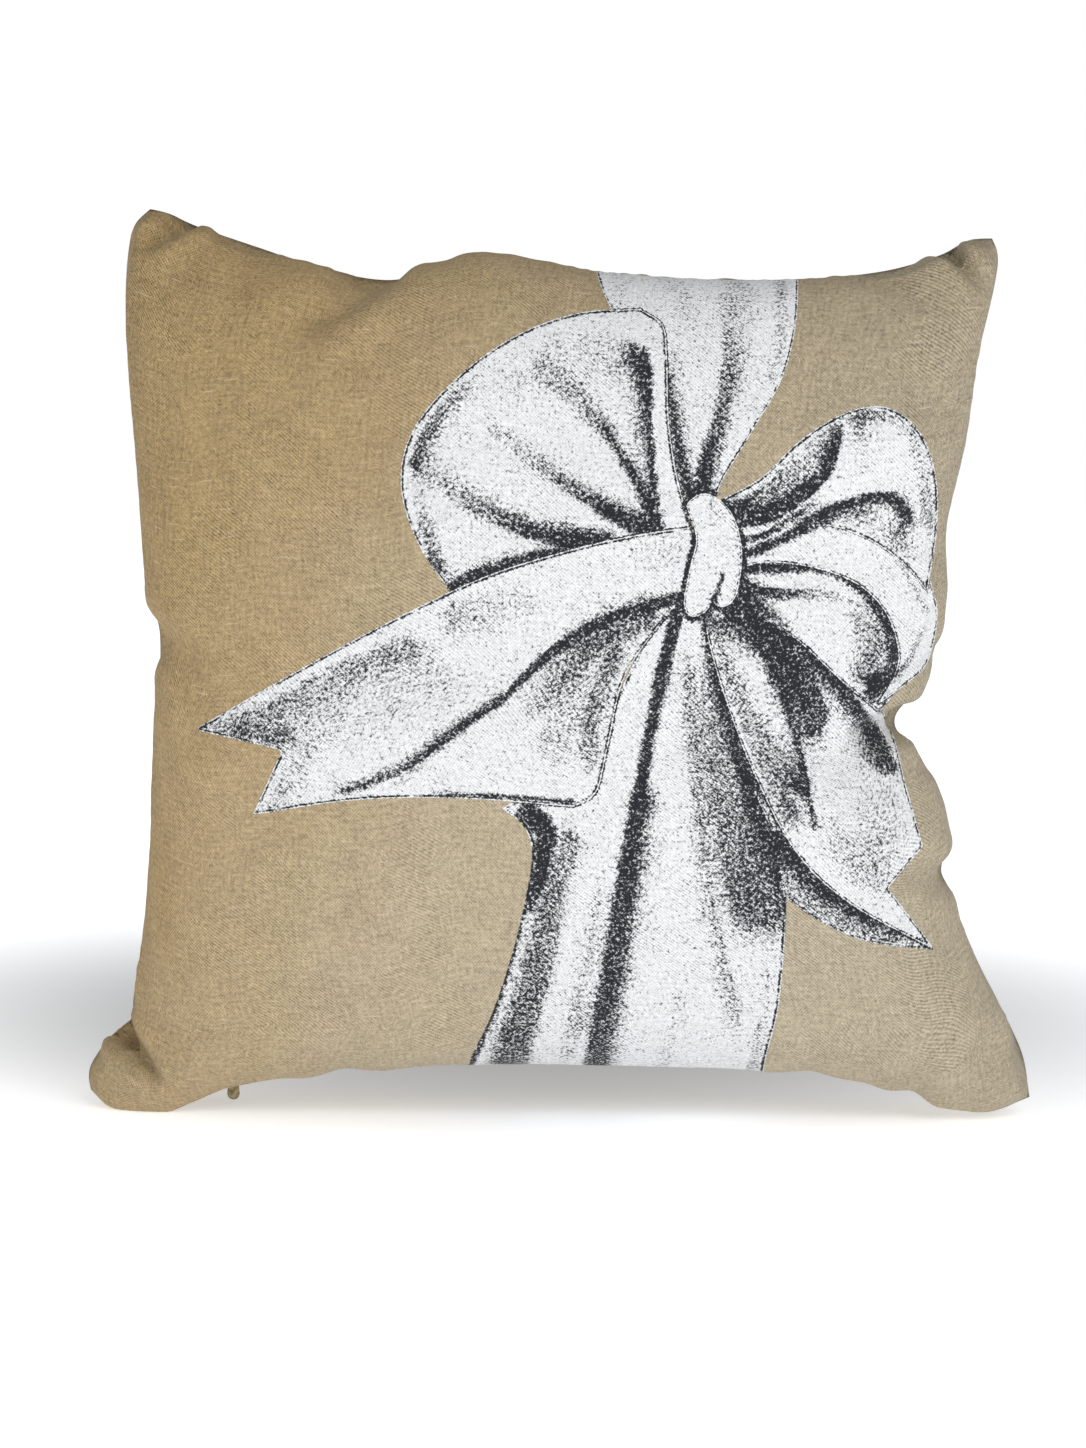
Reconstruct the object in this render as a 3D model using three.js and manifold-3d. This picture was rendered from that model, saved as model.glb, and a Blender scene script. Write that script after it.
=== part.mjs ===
// A stuffed square linen pillow, 45 cm wide, that stands upright on its two lower corners.
// It is a cover of two panels with a printed ribbon bow, closed by a concealed zip, over a stuffed insert.
// Millimetres. +Z is up, the printed front faces -Y, and the origin is the bottom centre of the bounding box.
import * as THREE from "three";
import * as BufferGeometryUtils from "three/addons/utils/BufferGeometryUtils.js";
import Module from "manifold-3d";

const wasm = await Module();
wasm.setup();

// ---- driving dimensions ----

const COVER_LOFT = 82; // how far each cover panel swells from the seam plane
const FULLNESS = 0.75; // 1 is a sharp-edged lens, and lower is plumper along the seams
const MIDDLE_Z = 215; // height about which the insert is a smaller copy of the cover
const HALF_WIDTH = 224; // seam plane's centre to the tip of a lower corner
const CLOTH = 1; // cover linen
const CASING = 0.8; // insert casing
const AIR = 0.3; // clearance between neighbouring pieces

const ZIP_Z = 27; // height of the cover lips that the zip is sewn behind
const LIP_Y = 4.5; // each lip's distance from the seam plane
const GROOVE_Y = 24; // where the groove round the zip has run out into the belly
const COIL_HALF = 163; // half the length of the coils
const TAPE_HALF = 167.5; // half the length of the tapes
const ZIP_END = 169; // the lips start to close here
const SEAM_START = 192; // and the plain seam starts here
const SLIDER_X = -154; // slider's centre with the zip closed
const SLOT_Y = 0.8; // half the slot between the coils, for the slider's neck

const RING_R = 3.2; // pull ring, to the middle of its wire
const WIRE_R = 0.5;
const RING_AXIS_Z = 23; // height of the wire where it hangs on the slider's bridge
const TAB_AXIS_Z = RING_AXIS_Z - 2 * RING_R;
const TAB_YAW = THREE.MathUtils.degToRad(20); // the tab hangs a little turned on its ring

// ---- materials ----

function cloth(colour) {
  return new THREE.MeshStandardMaterial({ color: colour, roughness: 0.92, metalness: 0 });
}

const linen = cloth(0xb7a27f);
const ink = new THREE.MeshStandardMaterial({ color: 0xe8e8e8, roughness: 0.7, metalness: 0 });
const casingCloth = cloth(0xefece4);
const stuffing = cloth(0xf7f6f2);
const thread = cloth(0xb09a74);
const tape = cloth(0xa08c68);
const nylon = new THREE.MeshStandardMaterial({ color: 0x9c8a66, roughness: 0.45, metalness: 0 });
const brass = new THREE.MeshStandardMaterial({ color: 0x8a7a4e, roughness: 0.38, metalness: 0.9 });

// ---- helpers ----

const pillow = new THREE.Group();

function addPiece(name, geometry, material) {
  const mesh = new THREE.Mesh(geometry, material);
  mesh.name = name;
  pillow.add(mesh);
  return mesh;
}

// A smooth line through [x, y] points that are in order of x, as a function of x.
function smoothLine(points) {
  const last = points.length - 1;
  const slopes = points.map((_, i) => {
    const before = points[Math.max(i - 1, 0)];
    const after = points[Math.min(i + 1, last)];
    return (after[1] - before[1]) / (after[0] - before[0]);
  });
  return (x) => {
    let i = 0;
    while (i < last - 1 && x > points[i + 1][0]) i += 1;
    const width = points[i + 1][0] - points[i][0];
    const t = (x - points[i][0]) / width;
    const a = 2 * t ** 3 - 3 * t ** 2 + 1;
    const b = t ** 3 - 2 * t ** 2 + t;
    const c = 3 * t ** 2 - 2 * t ** 3;
    const d = t ** 3 - t ** 2;
    return a * points[i][1] + b * width * slopes[i] + c * points[i + 1][1] + d * width * slopes[i + 1];
  };
}

// 1 up to start, 0 from end on, and smooth between.
function fade(x, start, end) {
  return 1 - THREE.MathUtils.smoothstep(x, start, end);
}

function toSolid(geometry) {
  const bare = geometry.clone();
  bare.deleteAttribute("normal");
  bare.deleteAttribute("uv");
  const merged = BufferGeometryUtils.mergeVertices(bare, 1e-4);
  return new wasm.Manifold(
    new wasm.Mesh({
      numProp: 3,
      vertProperties: new Float32Array(merged.attributes.position.array),
      triVerts: new Uint32Array(merged.index.array),
    }),
  );
}

function toGeometry(solid) {
  const mesh = solid.getMesh();
  const geometry = new THREE.BufferGeometry();
  geometry.setAttribute("position", new THREE.BufferAttribute(mesh.vertProperties, 3));
  geometry.setIndex(new THREE.BufferAttribute(mesh.triVerts, 1));
  const flat = geometry.toNonIndexed();
  flat.computeVertexNormals();
  return flat;
}

function join(...geometries) {
  const solids = geometries.map(toSolid);
  return toGeometry(solids.reduce((sum, solid) => sum.add(solid)));
}

function boxBetween(low, high) {
  const size = high.map((value, i) => value - low[i]);
  const box = new THREE.BoxGeometry(...size);
  return box.translate(...low.map((value, i) => value + size[i] / 2));
}

// ---- outline of the seam, seen from the front ----

const bottomEdge = smoothLine([
  [-224, 5], [-208, -6], [-190, -8], [-170, 0], [-154, 8], [-111, 14], [-48, 20.5], [19, 22],
  [95, 20.5], [139, 17], [160, 8], [175, -1], [192, -8], [208, -6], [224, 8],
]);
const topEdge = smoothLine([
  [-193, 434], [-146, 419], [-80, 398], [-29, 411], [18, 403], [117, 401], [153, 405], [180, 411.5],
  [208, 421],
]);
const leftEdge = smoothLine([
  [5, -224], [24, -212], [45, -204], [110, -197], [180, -193], [227, -188.5], [290, -196.5],
  [370, -202.5], [408, -200], [434, -193],
]);
const rightEdge = smoothLine([
  [8, 224], [30, 220], [78, 199], [115, 184], [165, 179], [189, 164], [222, 177], [255, 189],
  [300, 195], [367, 206], [398, 210], [421, 208],
]);
const CORNERS = { lowLeft: [-224, 5], lowRight: [224, 8], topLeft: [-193, 434], topRight: [208, 421] };

// A point of the outlined area: u runs left to right and v runs bottom to top, each from 0 to 1.
function outlinePoint(u, v) {
  const { lowLeft, lowRight, topLeft, topRight } = CORNERS;
  const lerp = THREE.MathUtils.lerp;
  const bottom = [lerp(lowLeft[0], lowRight[0], u)];
  bottom.push(bottomEdge(bottom[0]));
  const top = [lerp(topLeft[0], topRight[0], u)];
  top.push(topEdge(top[0]));
  const leftZ = lerp(lowLeft[1], topLeft[1], v);
  const left = [leftEdge(leftZ), leftZ];
  const rightZ = lerp(lowRight[1], topRight[1], v);
  const right = [rightEdge(rightZ), rightZ];
  return [0, 1].map((axis) => {
    const low = lerp(lowLeft[axis], lowRight[axis], u);
    const high = lerp(topLeft[axis], topRight[axis], u);
    return lerp(bottom[axis], top[axis], v) + lerp(left[axis], right[axis], u) - lerp(low, high, v);
  });
}

// ---- the swollen form that cover, casing and stuffing share ----

// A form is smaller than the cover by inset, is flat on its floor, and stays above overZip along the zip.
const COVER_FORM = { inset: 0, floor: 0, overZip: 0, groove: true };
const COVER_THREAD_FORM = { inset: 3.4, floor: 2.2, overZip: 0, groove: false };
const CASING_FORM = { inset: 7, floor: 2.5, overZip: 33, groove: false };
const CASING_THREAD_FORM = { inset: 10, floor: 5, overZip: 36, groove: false };
const STUFFING_FORM = { inset: 13, floor: 6, overZip: 43, groove: false };

// A point of the front half, before its cloth has a thickness. The angles run from -90 to 90 degrees.
function formPoint(form, across, up) {
  const u = (1 + Math.sin(across)) / 2;
  const v = (1 + Math.sin(up)) / 2;
  const [outlineX, outlineZ] = outlinePoint(u, v);
  const share = 1 - form.inset / HALF_WIDTH;
  const x = outlineX * share;
  let z = MIDDLE_Z + (outlineZ - MIDDLE_Z) * share;
  let swell = (COVER_LOFT - form.inset) * Math.max(Math.cos(across) * Math.cos(up), 0) ** FULLNESS;
  if (form.groove && up < 0) {
    const open = fade(Math.abs(x), ZIP_END, SEAM_START) * fade(v, 0.03, 0.08);
    swell = Math.max(swell, LIP_Y * open);
    z += (ZIP_Z - z) * open * fade(swell, LIP_Y, GROOVE_Y);
  }
  const clear = form.overZip * fade(Math.abs(x), ZIP_END + form.inset, SEAM_START + form.inset);
  return new THREE.Vector3(x, -swell, Math.max(z, form.floor, clear));
}

// The angles of the grid lines. Extra rows near the bottom edge follow the groove's walls.
function gridAngles(steps, extra = []) {
  const angles = Array.from({ length: steps + 1 }, (_, i) => -90 + (180 * i) / steps);
  return [...angles, ...extra].sort((a, b) => a - b).map(THREE.MathUtils.degToRad);
}

const GRID_STEPS = 16;
const COVER_COLUMNS = gridAngles(GRID_STEPS, [-52.5, -49, 49, 52.5]);
const COVER_ROWS = gridAngles(GRID_STEPS, [-87.4, -85.6, -82.8, 86]);
const INSERT_ANGLES = gridAngles(GRID_STEPS);

function gridFaces(columns, rows) {
  const faces = [];
  for (let row = 0; row < rows - 1; row += 1)
    for (let column = 0; column < columns - 1; column += 1) {
      const a = row * columns + column;
      const b = a + 1;
      const c = a + columns;
      const d = c + 1;
      faces.push([a, b, d], [a, d, c]);
    }
  return faces;
}

// Points and outward normals of a form's front half, on a grid of angles.
function frontGrid(form, columnAngles, rowAngles) {
  const points = rowAngles.flatMap((up) => columnAngles.map((across) => formPoint(form, across, up)));
  const geometry = new THREE.BufferGeometry().setFromPoints(points);
  geometry.setIndex(gridFaces(columnAngles.length, rowAngles.length).flat());
  geometry.computeVertexNormals();
  const normals = points.map((_, i) => new THREE.Vector3().fromBufferAttribute(geometry.attributes.normal, i));
  return { points, normals, columns: columnAngles.length, rows: rowAngles.length };
}

// A closed sheet between two grids of points, the outer one first.
function closedSheet(outer, inner, columns, rows) {
  const shift = outer.length;
  const faces = gridFaces(columns, rows);
  const all = [...faces, ...faces.map(([a, b, c]) => [a + shift, c + shift, b + shift])];
  const rim = [];
  for (let i = 0; i < columns - 1; i += 1) rim.push(i);
  for (let i = 0; i < rows - 1; i += 1) rim.push(i * columns + columns - 1);
  for (let i = columns - 1; i > 0; i -= 1) rim.push((rows - 1) * columns + i);
  for (let i = rows - 1; i > 0; i -= 1) rim.push(i * columns);
  rim.forEach((a, i) => {
    const b = rim[(i + 1) % rim.length];
    all.push([a, a + shift, b + shift], [a, b + shift, b]);
  });
  const geometry = new THREE.BufferGeometry().setFromPoints([...outer, ...inner]);
  geometry.setIndex(all.flat());
  const flat = geometry.toNonIndexed();
  flat.computeVertexNormals();
  return flat;
}

// The outer face of a panel of cloth that leaves half the air to its twin at the seam.
function panelFace(grid, thickness) {
  return grid.points.map((point, i) => {
    const outward = AIR / 2 + thickness * Math.max(-grid.normals[i].y, 0);
    return new THREE.Vector3(point.x, point.y - outward, point.z);
  });
}

function offsetFace(face, normals, distance) {
  return face.map((point, i) => point.clone().addScaledVector(normals[i], distance));
}

function frontPanel(form, columnAngles, rowAngles, thickness) {
  const grid = frontGrid(form, columnAngles, rowAngles);
  const outer = panelFace(grid, thickness);
  const inner = offsetFace(outer, grid.normals, -thickness);
  return closedSheet(outer, inner, grid.columns, grid.rows);
}

// The same piece on the other side of the seam plane.
function mirrored(geometry) {
  const copy = geometry.clone();
  const position = copy.attributes.position;
  for (let i = 0; i < position.count; i += 3) {
    const corners = [0, 2, 1].map((k) => new THREE.Vector3().fromBufferAttribute(position, i + k));
    corners.forEach((corner, k) => position.setXYZ(i + k, corner.x, -corner.y, corner.z));
  }
  copy.computeVertexNormals();
  return copy;
}

// ---- cover ----

function makeCover() {
  const panel = frontPanel(COVER_FORM, COVER_COLUMNS, COVER_ROWS, CLOTH);
  addPiece("cover_front_panel", panel, linen);
  addPiece("cover_back_panel", mirrored(panel), linen);
}

// The bow's outline: a band from the top edge to the bottom edge, two loops and two pointed tails.
function bowOutline() {
  const bow = new THREE.Shape();
  bow.moveTo(16, 425);
  bow.quadraticCurveTo(20, 395, 34, 381);
  bow.bezierCurveTo(-2, 388, -34, 362, -46, 343);
  bow.bezierCurveTo(-76, 332, -78, 292, -60, 254);
  bow.bezierCurveTo(-100, 236, -140, 206, -174, 180);
  bow.quadraticCurveTo(-148, 156, -122, 147);
  bow.bezierCurveTo(-82, 153, -34, 147, -14, 142);
  bow.bezierCurveTo(-8, 100, -28, 66, -42, 0);
  bow.lineTo(104, 0);
  bow.quadraticCurveTo(110, 62, 106, 104);
  bow.quadraticCurveTo(136, 82, 182, 81);
  bow.bezierCurveTo(160, 112, 166, 142, 152, 184);
  bow.bezierCurveTo(178, 222, 186, 262, 170, 338);
  bow.bezierCurveTo(144, 342, 112, 322, 84, 292);
  bow.lineTo(76, 300);
  bow.quadraticCurveTo(112, 344, 114, 425);
  bow.closePath();
  return bow;
}

// A thin film of ink over the front panel, inside the bow's outline and clear of the seams.
function makePrint() {
  const film = 0.5;
  const nearSeam = 26;
  const grid = frontGrid(COVER_FORM, COVER_COLUMNS.slice(1, -1), COVER_ROWS.slice(1, -1));
  const cover = panelFace(grid, CLOTH);
  const under = offsetFace(cover, grid.normals, AIR + 0.1);
  const over = offsetFace(cover, grid.normals, AIR + 0.1 + film);
  const slab = closedSheet(over, under, grid.columns, grid.rows);
  const prism = new THREE.ExtrudeGeometry(bowOutline(), { depth: 120, bevelEnabled: false, curveSegments: 6 });
  prism.rotateX(Math.PI / 2).translate(0, -nearSeam, 0);
  addPiece("bow_print", toGeometry(toSolid(slab).intersect(toSolid(prism))), ink);
}

// A thread in the seam plane: a five-sided tube through a line of points, closed at both ends.
function threadThrough(points, radius) {
  const sides = 5;
  const vertices = points.flatMap((point, i) => {
    const before = points[Math.max(i - 1, 0)];
    const after = points[Math.min(i + 1, points.length - 1)];
    const along = after.clone().sub(before).normalize();
    const across = new THREE.Vector3(along.z, 0, -along.x);
    return Array.from({ length: sides }, (_, k) => {
      const angle = (2 * Math.PI * k) / sides;
      const offset = across.clone().multiplyScalar(radius * Math.cos(angle));
      offset.y = radius * Math.sin(angle);
      return point.clone().add(offset);
    });
  });
  const faces = [];
  for (let k = 1; k < sides - 1; k += 1) faces.push([0, k + 1, k]);
  for (let i = 0; i < points.length - 1; i += 1)
    for (let k = 0; k < sides; k += 1) {
      const a = i * sides + k;
      const b = i * sides + ((k + 1) % sides);
      faces.push([a, b, b + sides], [a, b + sides, a + sides]);
    }
  const end = (points.length - 1) * sides;
  for (let k = 1; k < sides - 1; k += 1) faces.push([end, end + k, end + k + 1]);
  const geometry = new THREE.BufferGeometry().setFromPoints(vertices);
  geometry.setIndex(faces.flat());
  const flat = geometry.toNonIndexed();
  flat.computeVertexNormals();
  return flat;
}

// Points along a form's seam: up the left side from some way above its lower corner, over the top and down again.
function seamRoute(form, lowest) {
  const edge = Math.PI / 2;
  const sides = INSERT_ANGLES.slice(lowest);
  const rising = sides.map((angle) => [-edge, angle]);
  const over = INSERT_ANGLES.slice(1, -1).map((angle) => [angle, edge]);
  const falling = sides.map((angle) => [edge, angle]).reverse();
  return [...rising, ...over, ...falling].map(([across, up]) => {
    const point = formPoint(form, across, up);
    return new THREE.Vector3(point.x, 0, point.z);
  });
}

function makeSeamThreads() {
  const radius = 0.3;
  addPiece("cover_seam_thread", threadThrough(seamRoute(COVER_THREAD_FORM, 2), radius), thread);
  addPiece("insert_seam_thread", threadThrough(seamRoute(CASING_THREAD_FORM, 4), radius), thread);
}

// ---- zip ----

const COIL_LOW = ZIP_Z - 0.3;
const COIL_HIGH = ZIP_Z + CLOTH + 0.1;
const TAPE_LOW = COIL_HIGH + AIR;
const TAPE_HIGH = TAPE_LOW + 0.6;
const COIL_EDGE = 3;
const TAPE_EDGE = 13;

// One half of the coil: a spine with teeth towards the slot.
function coilHalf() {
  const pitch = 8;
  const spineY = -1.7;
  const half = new THREE.Shape();
  half.moveTo(-COIL_HALF, -COIL_EDGE);
  half.lineTo(COIL_HALF, -COIL_EDGE);
  half.lineTo(COIL_HALF, spineY);
  for (let x = COIL_HALF - 2; x > -COIL_HALF + pitch; x -= pitch) {
    half.lineTo(x, spineY);
    half.lineTo(x - 0.5, -SLOT_Y);
    half.lineTo(x - 2.5, -SLOT_Y);
    half.lineTo(x - 3, spineY);
  }
  half.lineTo(-COIL_HALF, spineY);
  half.closePath();
  const geometry = new THREE.ExtrudeGeometry(half, { depth: COIL_HIGH - COIL_LOW, bevelEnabled: false });
  return geometry.translate(0, 0, COIL_LOW);
}

function makeZip() {
  const tapeStrip = boxBetween([-TAPE_HALF, -TAPE_EDGE, TAPE_LOW], [TAPE_HALF, -SLOT_Y, TAPE_HIGH]).toNonIndexed();
  const coil = coilHalf();
  const stitch = new THREE.CylinderGeometry(0.25, 0.25, 2 * TAPE_HALF - 4, 6).toNonIndexed();
  stitch.rotateZ(Math.PI / 2).translate(0, -LIP_Y - 0.8, TAPE_HIGH + AIR + 0.25);
  const stopEnd = COIL_HALF + AIR;
  const topStop = boxBetween(
    [-stopEnd - 2, -COIL_EDGE, COIL_LOW],
    [-stopEnd, -SLOT_Y, COIL_HIGH],
  ).toNonIndexed();
  addPiece("zip_tape_front", tapeStrip, tape);
  addPiece("zip_tape_back", mirrored(tapeStrip), tape);
  addPiece("zip_coil_front", coil, nylon);
  addPiece("zip_coil_back", mirrored(coil), nylon);
  addPiece("zip_stitch_front", stitch, thread);
  addPiece("zip_stitch_back", mirrored(stitch), thread);
  addPiece("zip_top_stop_front", topStop, brass);
  addPiece("zip_top_stop_back", mirrored(topStop), brass);
  const bottomStop = boxBetween([stopEnd, -COIL_EDGE, COIL_LOW], [stopEnd + 2.4, COIL_EDGE, COIL_HIGH]);
  addPiece("zip_bottom_stop", bottomStop, brass);
}

// Two plates joined by a neck that runs in the slot, flanges round the coils, and a bridge for the ring.
function makeSlider() {
  const halfLength = 5.5;
  const halfWidth = 4.1;
  const plate = 1.3;
  const lowerTop = COIL_LOW - AIR;
  const upperLow = TAPE_HIGH + AIR;
  const bridgeHalf = 0.8;
  const legInner = 3.4;
  const legOuter = 4.6;
  const barTop = RING_AXIS_Z - WIRE_R - AIR;
  const lowerPlate = new THREE.Shape();
  lowerPlate.moveTo(-halfLength, -halfWidth + 1.6);
  lowerPlate.quadraticCurveTo(-halfLength, -halfWidth, -halfLength + 2, -halfWidth);
  lowerPlate.lineTo(halfLength, -halfWidth + 0.5);
  lowerPlate.lineTo(halfLength, halfWidth - 0.5);
  lowerPlate.lineTo(-halfLength + 2, halfWidth);
  lowerPlate.quadraticCurveTo(-halfLength, halfWidth, -halfLength, halfWidth - 1.6);
  lowerPlate.closePath();
  const plateShape = { depth: plate, bevelEnabled: false, curveSegments: 4 };
  const flange = (side) =>
    boxBetween(
      [-halfLength + 2, Math.min(side * 3.3, side * 3.6), lowerTop - 0.3],
      [halfLength - 0.5, Math.max(side * 3.3, side * 3.6), COIL_HIGH],
    );
  const slider = join(
    new THREE.ExtrudeGeometry(lowerPlate, plateShape).translate(0, 0, lowerTop - plate),
    new THREE.ExtrudeGeometry(lowerPlate, plateShape).translate(0, 0, upperLow),
    flange(-1),
    flange(1),
    boxBetween([-4.6, -SLOT_Y + AIR, lowerTop - 0.2], [-1.6, SLOT_Y - AIR, upperLow + 0.2]),
    boxBetween([-legOuter, -bridgeHalf, barTop - 1], [-legInner, bridgeHalf, lowerTop - 0.2]),
    boxBetween([legInner, -bridgeHalf, barTop - 1], [legOuter, bridgeHalf, lowerTop - 0.2]),
    boxBetween([-legOuter + 0.1, -bridgeHalf, barTop - 1.1], [legOuter - 0.1, bridgeHalf, barTop]),
  );
  addPiece("slider_body", slider, brass).position.x = SLIDER_X;
}

// The wire ring hangs on the bridge in the plane across the zip.
function makePullRing() {
  const ring = new THREE.TorusGeometry(RING_R, WIRE_R, 8, 24).rotateY(Math.PI / 2);
  addPiece("pull_ring", ring, brass).position.set(SLIDER_X, 0, RING_AXIS_Z - RING_R);
}

// A flat tab with a round head that the ring passes through and a wider rounded end.
function makePullTab() {
  const headR = 2;
  const halfWidth = 3;
  const length = TAB_AXIS_Z - 3;
  const thickness = 1.2;
  const shape = new THREE.Shape();
  shape.absarc(0, 0, headR, THREE.MathUtils.degToRad(-20), THREE.MathUtils.degToRad(200), false);
  shape.lineTo(-halfWidth, -length + 3.5);
  shape.absarc(0, -length + halfWidth, halfWidth, Math.PI, 2 * Math.PI, false);
  shape.closePath();
  shape.holes.push(new THREE.Path().absarc(0, 0, 1.05, 0, 2 * Math.PI, true));
  const tab = new THREE.ExtrudeGeometry(shape, { depth: thickness, bevelEnabled: false, curveSegments: 7 });
  tab.rotateX(Math.PI / 2).translate(0, thickness / 2, 0).rotateZ(TAB_YAW);
  addPiece("pull_tab", tab, brass).position.set(SLIDER_X, 0, TAB_AXIS_Z);
}

// ---- insert ----

function makeInsert() {
  const panel = frontPanel(CASING_FORM, INSERT_ANGLES, INSERT_ANGLES, CASING);
  addPiece("insert_front_panel", panel, casingCloth);
  addPiece("insert_back_panel", mirrored(panel), casingCloth);
}

// The stuffing is one closed body: the front half's face joined to its mirror image round the edge.
function makeStuffing() {
  const grid = frontGrid(STUFFING_FORM, INSERT_ANGLES, INSERT_ANGLES);
  const edge = 0.05;
  const front = grid.points.map((point) => new THREE.Vector3(point.x, point.y - edge, point.z));
  const back = front.map((point) => new THREE.Vector3(point.x, -point.y, point.z));
  addPiece("insert_stuffing", closedSheet(front, back, grid.columns, grid.rows), stuffing);
}

makeCover();
makePrint();
makeSeamThreads();
makeZip();
makeSlider();
makePullRing();
makePullTab();
makeInsert();
makeStuffing();

export default pillow;
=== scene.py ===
"""A stuffed linen pillow with a printed ribbon bow on a white floor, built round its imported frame."""

import math

import bmesh
import bpy
import numpy as np
from mathutils import Matrix, Vector


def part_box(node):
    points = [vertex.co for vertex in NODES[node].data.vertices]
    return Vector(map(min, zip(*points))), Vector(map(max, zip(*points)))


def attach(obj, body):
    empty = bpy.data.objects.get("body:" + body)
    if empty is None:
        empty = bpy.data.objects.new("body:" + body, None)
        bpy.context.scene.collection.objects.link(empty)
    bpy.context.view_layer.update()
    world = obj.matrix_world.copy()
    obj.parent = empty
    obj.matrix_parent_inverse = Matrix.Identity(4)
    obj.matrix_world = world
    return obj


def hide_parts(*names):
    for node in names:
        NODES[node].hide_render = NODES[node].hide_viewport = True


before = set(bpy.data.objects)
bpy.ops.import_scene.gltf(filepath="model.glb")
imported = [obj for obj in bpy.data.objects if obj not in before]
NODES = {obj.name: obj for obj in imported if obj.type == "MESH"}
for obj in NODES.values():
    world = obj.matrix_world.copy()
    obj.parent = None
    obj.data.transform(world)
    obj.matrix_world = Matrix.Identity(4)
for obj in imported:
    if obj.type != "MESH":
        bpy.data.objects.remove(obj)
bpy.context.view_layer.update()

# ---- driving dimensions, in millimetres unless a name says otherwise ----

MM = 0.001
LOFT = 81.0  # how far each panel swells from the seam plane
FULLNESS = 0.66  # 1 is a sharp-edged lens, and lower is plumper along the seams
CELLS = 76  # cloth cells along a panel's side in the simulation
FRONT_SPLIT = 4  # how many finer cells each of them becomes on the printed panel
BACK_SPLIT = 3
CLOTH_FRAMES = 30
MOST_SWELL = 16.0  # the furthest that the simulation may move a point
ZIP_Z = 27.0  # height of the lips over the zip
LIP_Y = 4.5  # each lip's distance from the seam plane
GROOVE_Y = 22.0  # where the groove round the zip has run out
LIP_END = 165.5  # where the opening over the zip starts to close
ZIP_END = 169.0
SEAM_START = 192.0
BOTTOM_Z = 60.0  # what lies lower belongs to the bottom edge
MIDDLE_Z = 215.0
HALF_WIDTH = 224.0
FLOOR_GAP = 0.3
HEM = 7.0  # cloth turned in at the seam
CASING_GAP = 9.0  # from the cover in to the insert's casing
STUFFING_GAP = 15.0  # and from the cover in to the filling
CAMERA_DISTANCE = 1800.0
CAMERA_RISE_DEG = 4.5
CAMERA_ROLL_DEG = 0.7
PICTURE_DOTS_HIGH = 1448
PICTURE_MM = 0.48  # what one dot of the picture covers in the plane through the aim
AIM = (-6.5, 0.0, 187.0)
PRINT_ORIGIN = (8.6, -0.3)  # where the print's own zero lies from the aim, in x and down from it in z
PRINT_MARGIN = 15.0  # bare cloth left along the right seam
STROKE_REACH = 0.74  # how wide strokes are drawn, as a share of the widths in the drawing's table
SEED = 11


# ---- small helpers ----


def smoothstep(x, start, end):
    t = np.clip((x - start) / (end - start), 0, 1)
    return t * t * (3 - 2 * t)


def between(a, b, t):
    return a * (1 - t) + b * t


def through(a, b, c, d, t):
    """A smooth curve from b to c, as t goes from 0 to 1, with a and d as the points beside them."""
    return b + 0.5 * t * (c - a + t * (2 * a - 5 * b + 4 * c - d + t * (3 * (b - c) + d - a)))


def spline(points):
    """A smooth function through (x, y) points in order of x."""
    xs, ys = np.array(points, float).T
    slopes = np.empty_like(ys)
    slopes[1:-1] = (ys[2:] - ys[:-2]) / (xs[2:] - xs[:-2])
    slopes[0] = (ys[1] - ys[0]) / (xs[1] - xs[0])
    slopes[-1] = (ys[-1] - ys[-2]) / (xs[-1] - xs[-2])

    def value(x):
        i = np.clip(np.searchsorted(xs, x) - 1, 0, len(xs) - 2)
        width = xs[i + 1] - xs[i]
        t = (x - xs[i]) / width
        a, b = 2 * t**3 - 3 * t**2 + 1, t**3 - 2 * t**2 + t
        c, d = 3 * t**2 - 2 * t**3, t**3 - t**2
        return a * ys[i] + b * width * slopes[i] + c * ys[i + 1] + d * width * slopes[i + 1]

    return value


def curve_points(points, step=3.0):
    """Closely spaced points on a smooth line through given ones."""
    p = np.array(points, float)
    p = np.vstack([2 * p[0] - p[1], p, 2 * p[-1] - p[-2]])
    found = []
    for i in range(1, len(p) - 2):
        count = max(2, int(np.linalg.norm(p[i + 1] - p[i]) / step))
        found.append(through(*p[i - 1 : i + 3], np.arange(count)[:, None] / count))
    found.append(p[-2][None])
    return np.vstack(found)


def nearest_on_line(x, z, line, chunk=20000):
    """Each point's distance from a polyline, its side of it, and how far along it is from 0 to 1."""
    a, b = line[:-1], line[1:]
    run = b - a
    length = np.maximum(np.linalg.norm(run, axis=1), 1e-9)
    start = np.concatenate([[0], np.cumsum(length)[:-1]])
    distance, side, along = (np.empty(x.size) for _ in range(3))
    for first in range(0, x.size, chunk):
        part = slice(first, first + chunk)
        px, pz = x[part, None] - a[:, 0], z[part, None] - a[:, 1]
        t = np.clip((px * run[:, 0] + pz * run[:, 1]) / length**2, 0, 1)
        dx, dz = px - t * run[:, 0], pz - t * run[:, 1]
        square = dx * dx + dz * dz
        best = square.argmin(axis=1)
        rows = np.arange(best.size)
        distance[part] = np.sqrt(square[rows, best])
        side[part] = np.sign(run[best, 0] * pz[rows, best] - run[best, 1] * px[rows, best])
        along[part] = (start[best] + t[rows, best] * length[best]) / length.sum()
    return distance, side, along


def inside_polygon(x, z, line):
    """True where a point is inside a closed polyline."""
    found = np.zeros(x.size, bool)
    for (ax, az), (bx, bz) in zip(line, np.roll(line, -1, axis=0)):
        if az == bz:
            continue
        crosses = (z < az) != (z < bz)
        found ^= crosses & (x < ax + (z - az) * (bx - ax) / (bz - az))
    return found


def put(name, data):
    """An object of the given data, in the scene."""
    made = bpy.data.objects.new(name, data)
    bpy.context.scene.collection.objects.link(made)
    return made


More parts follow.
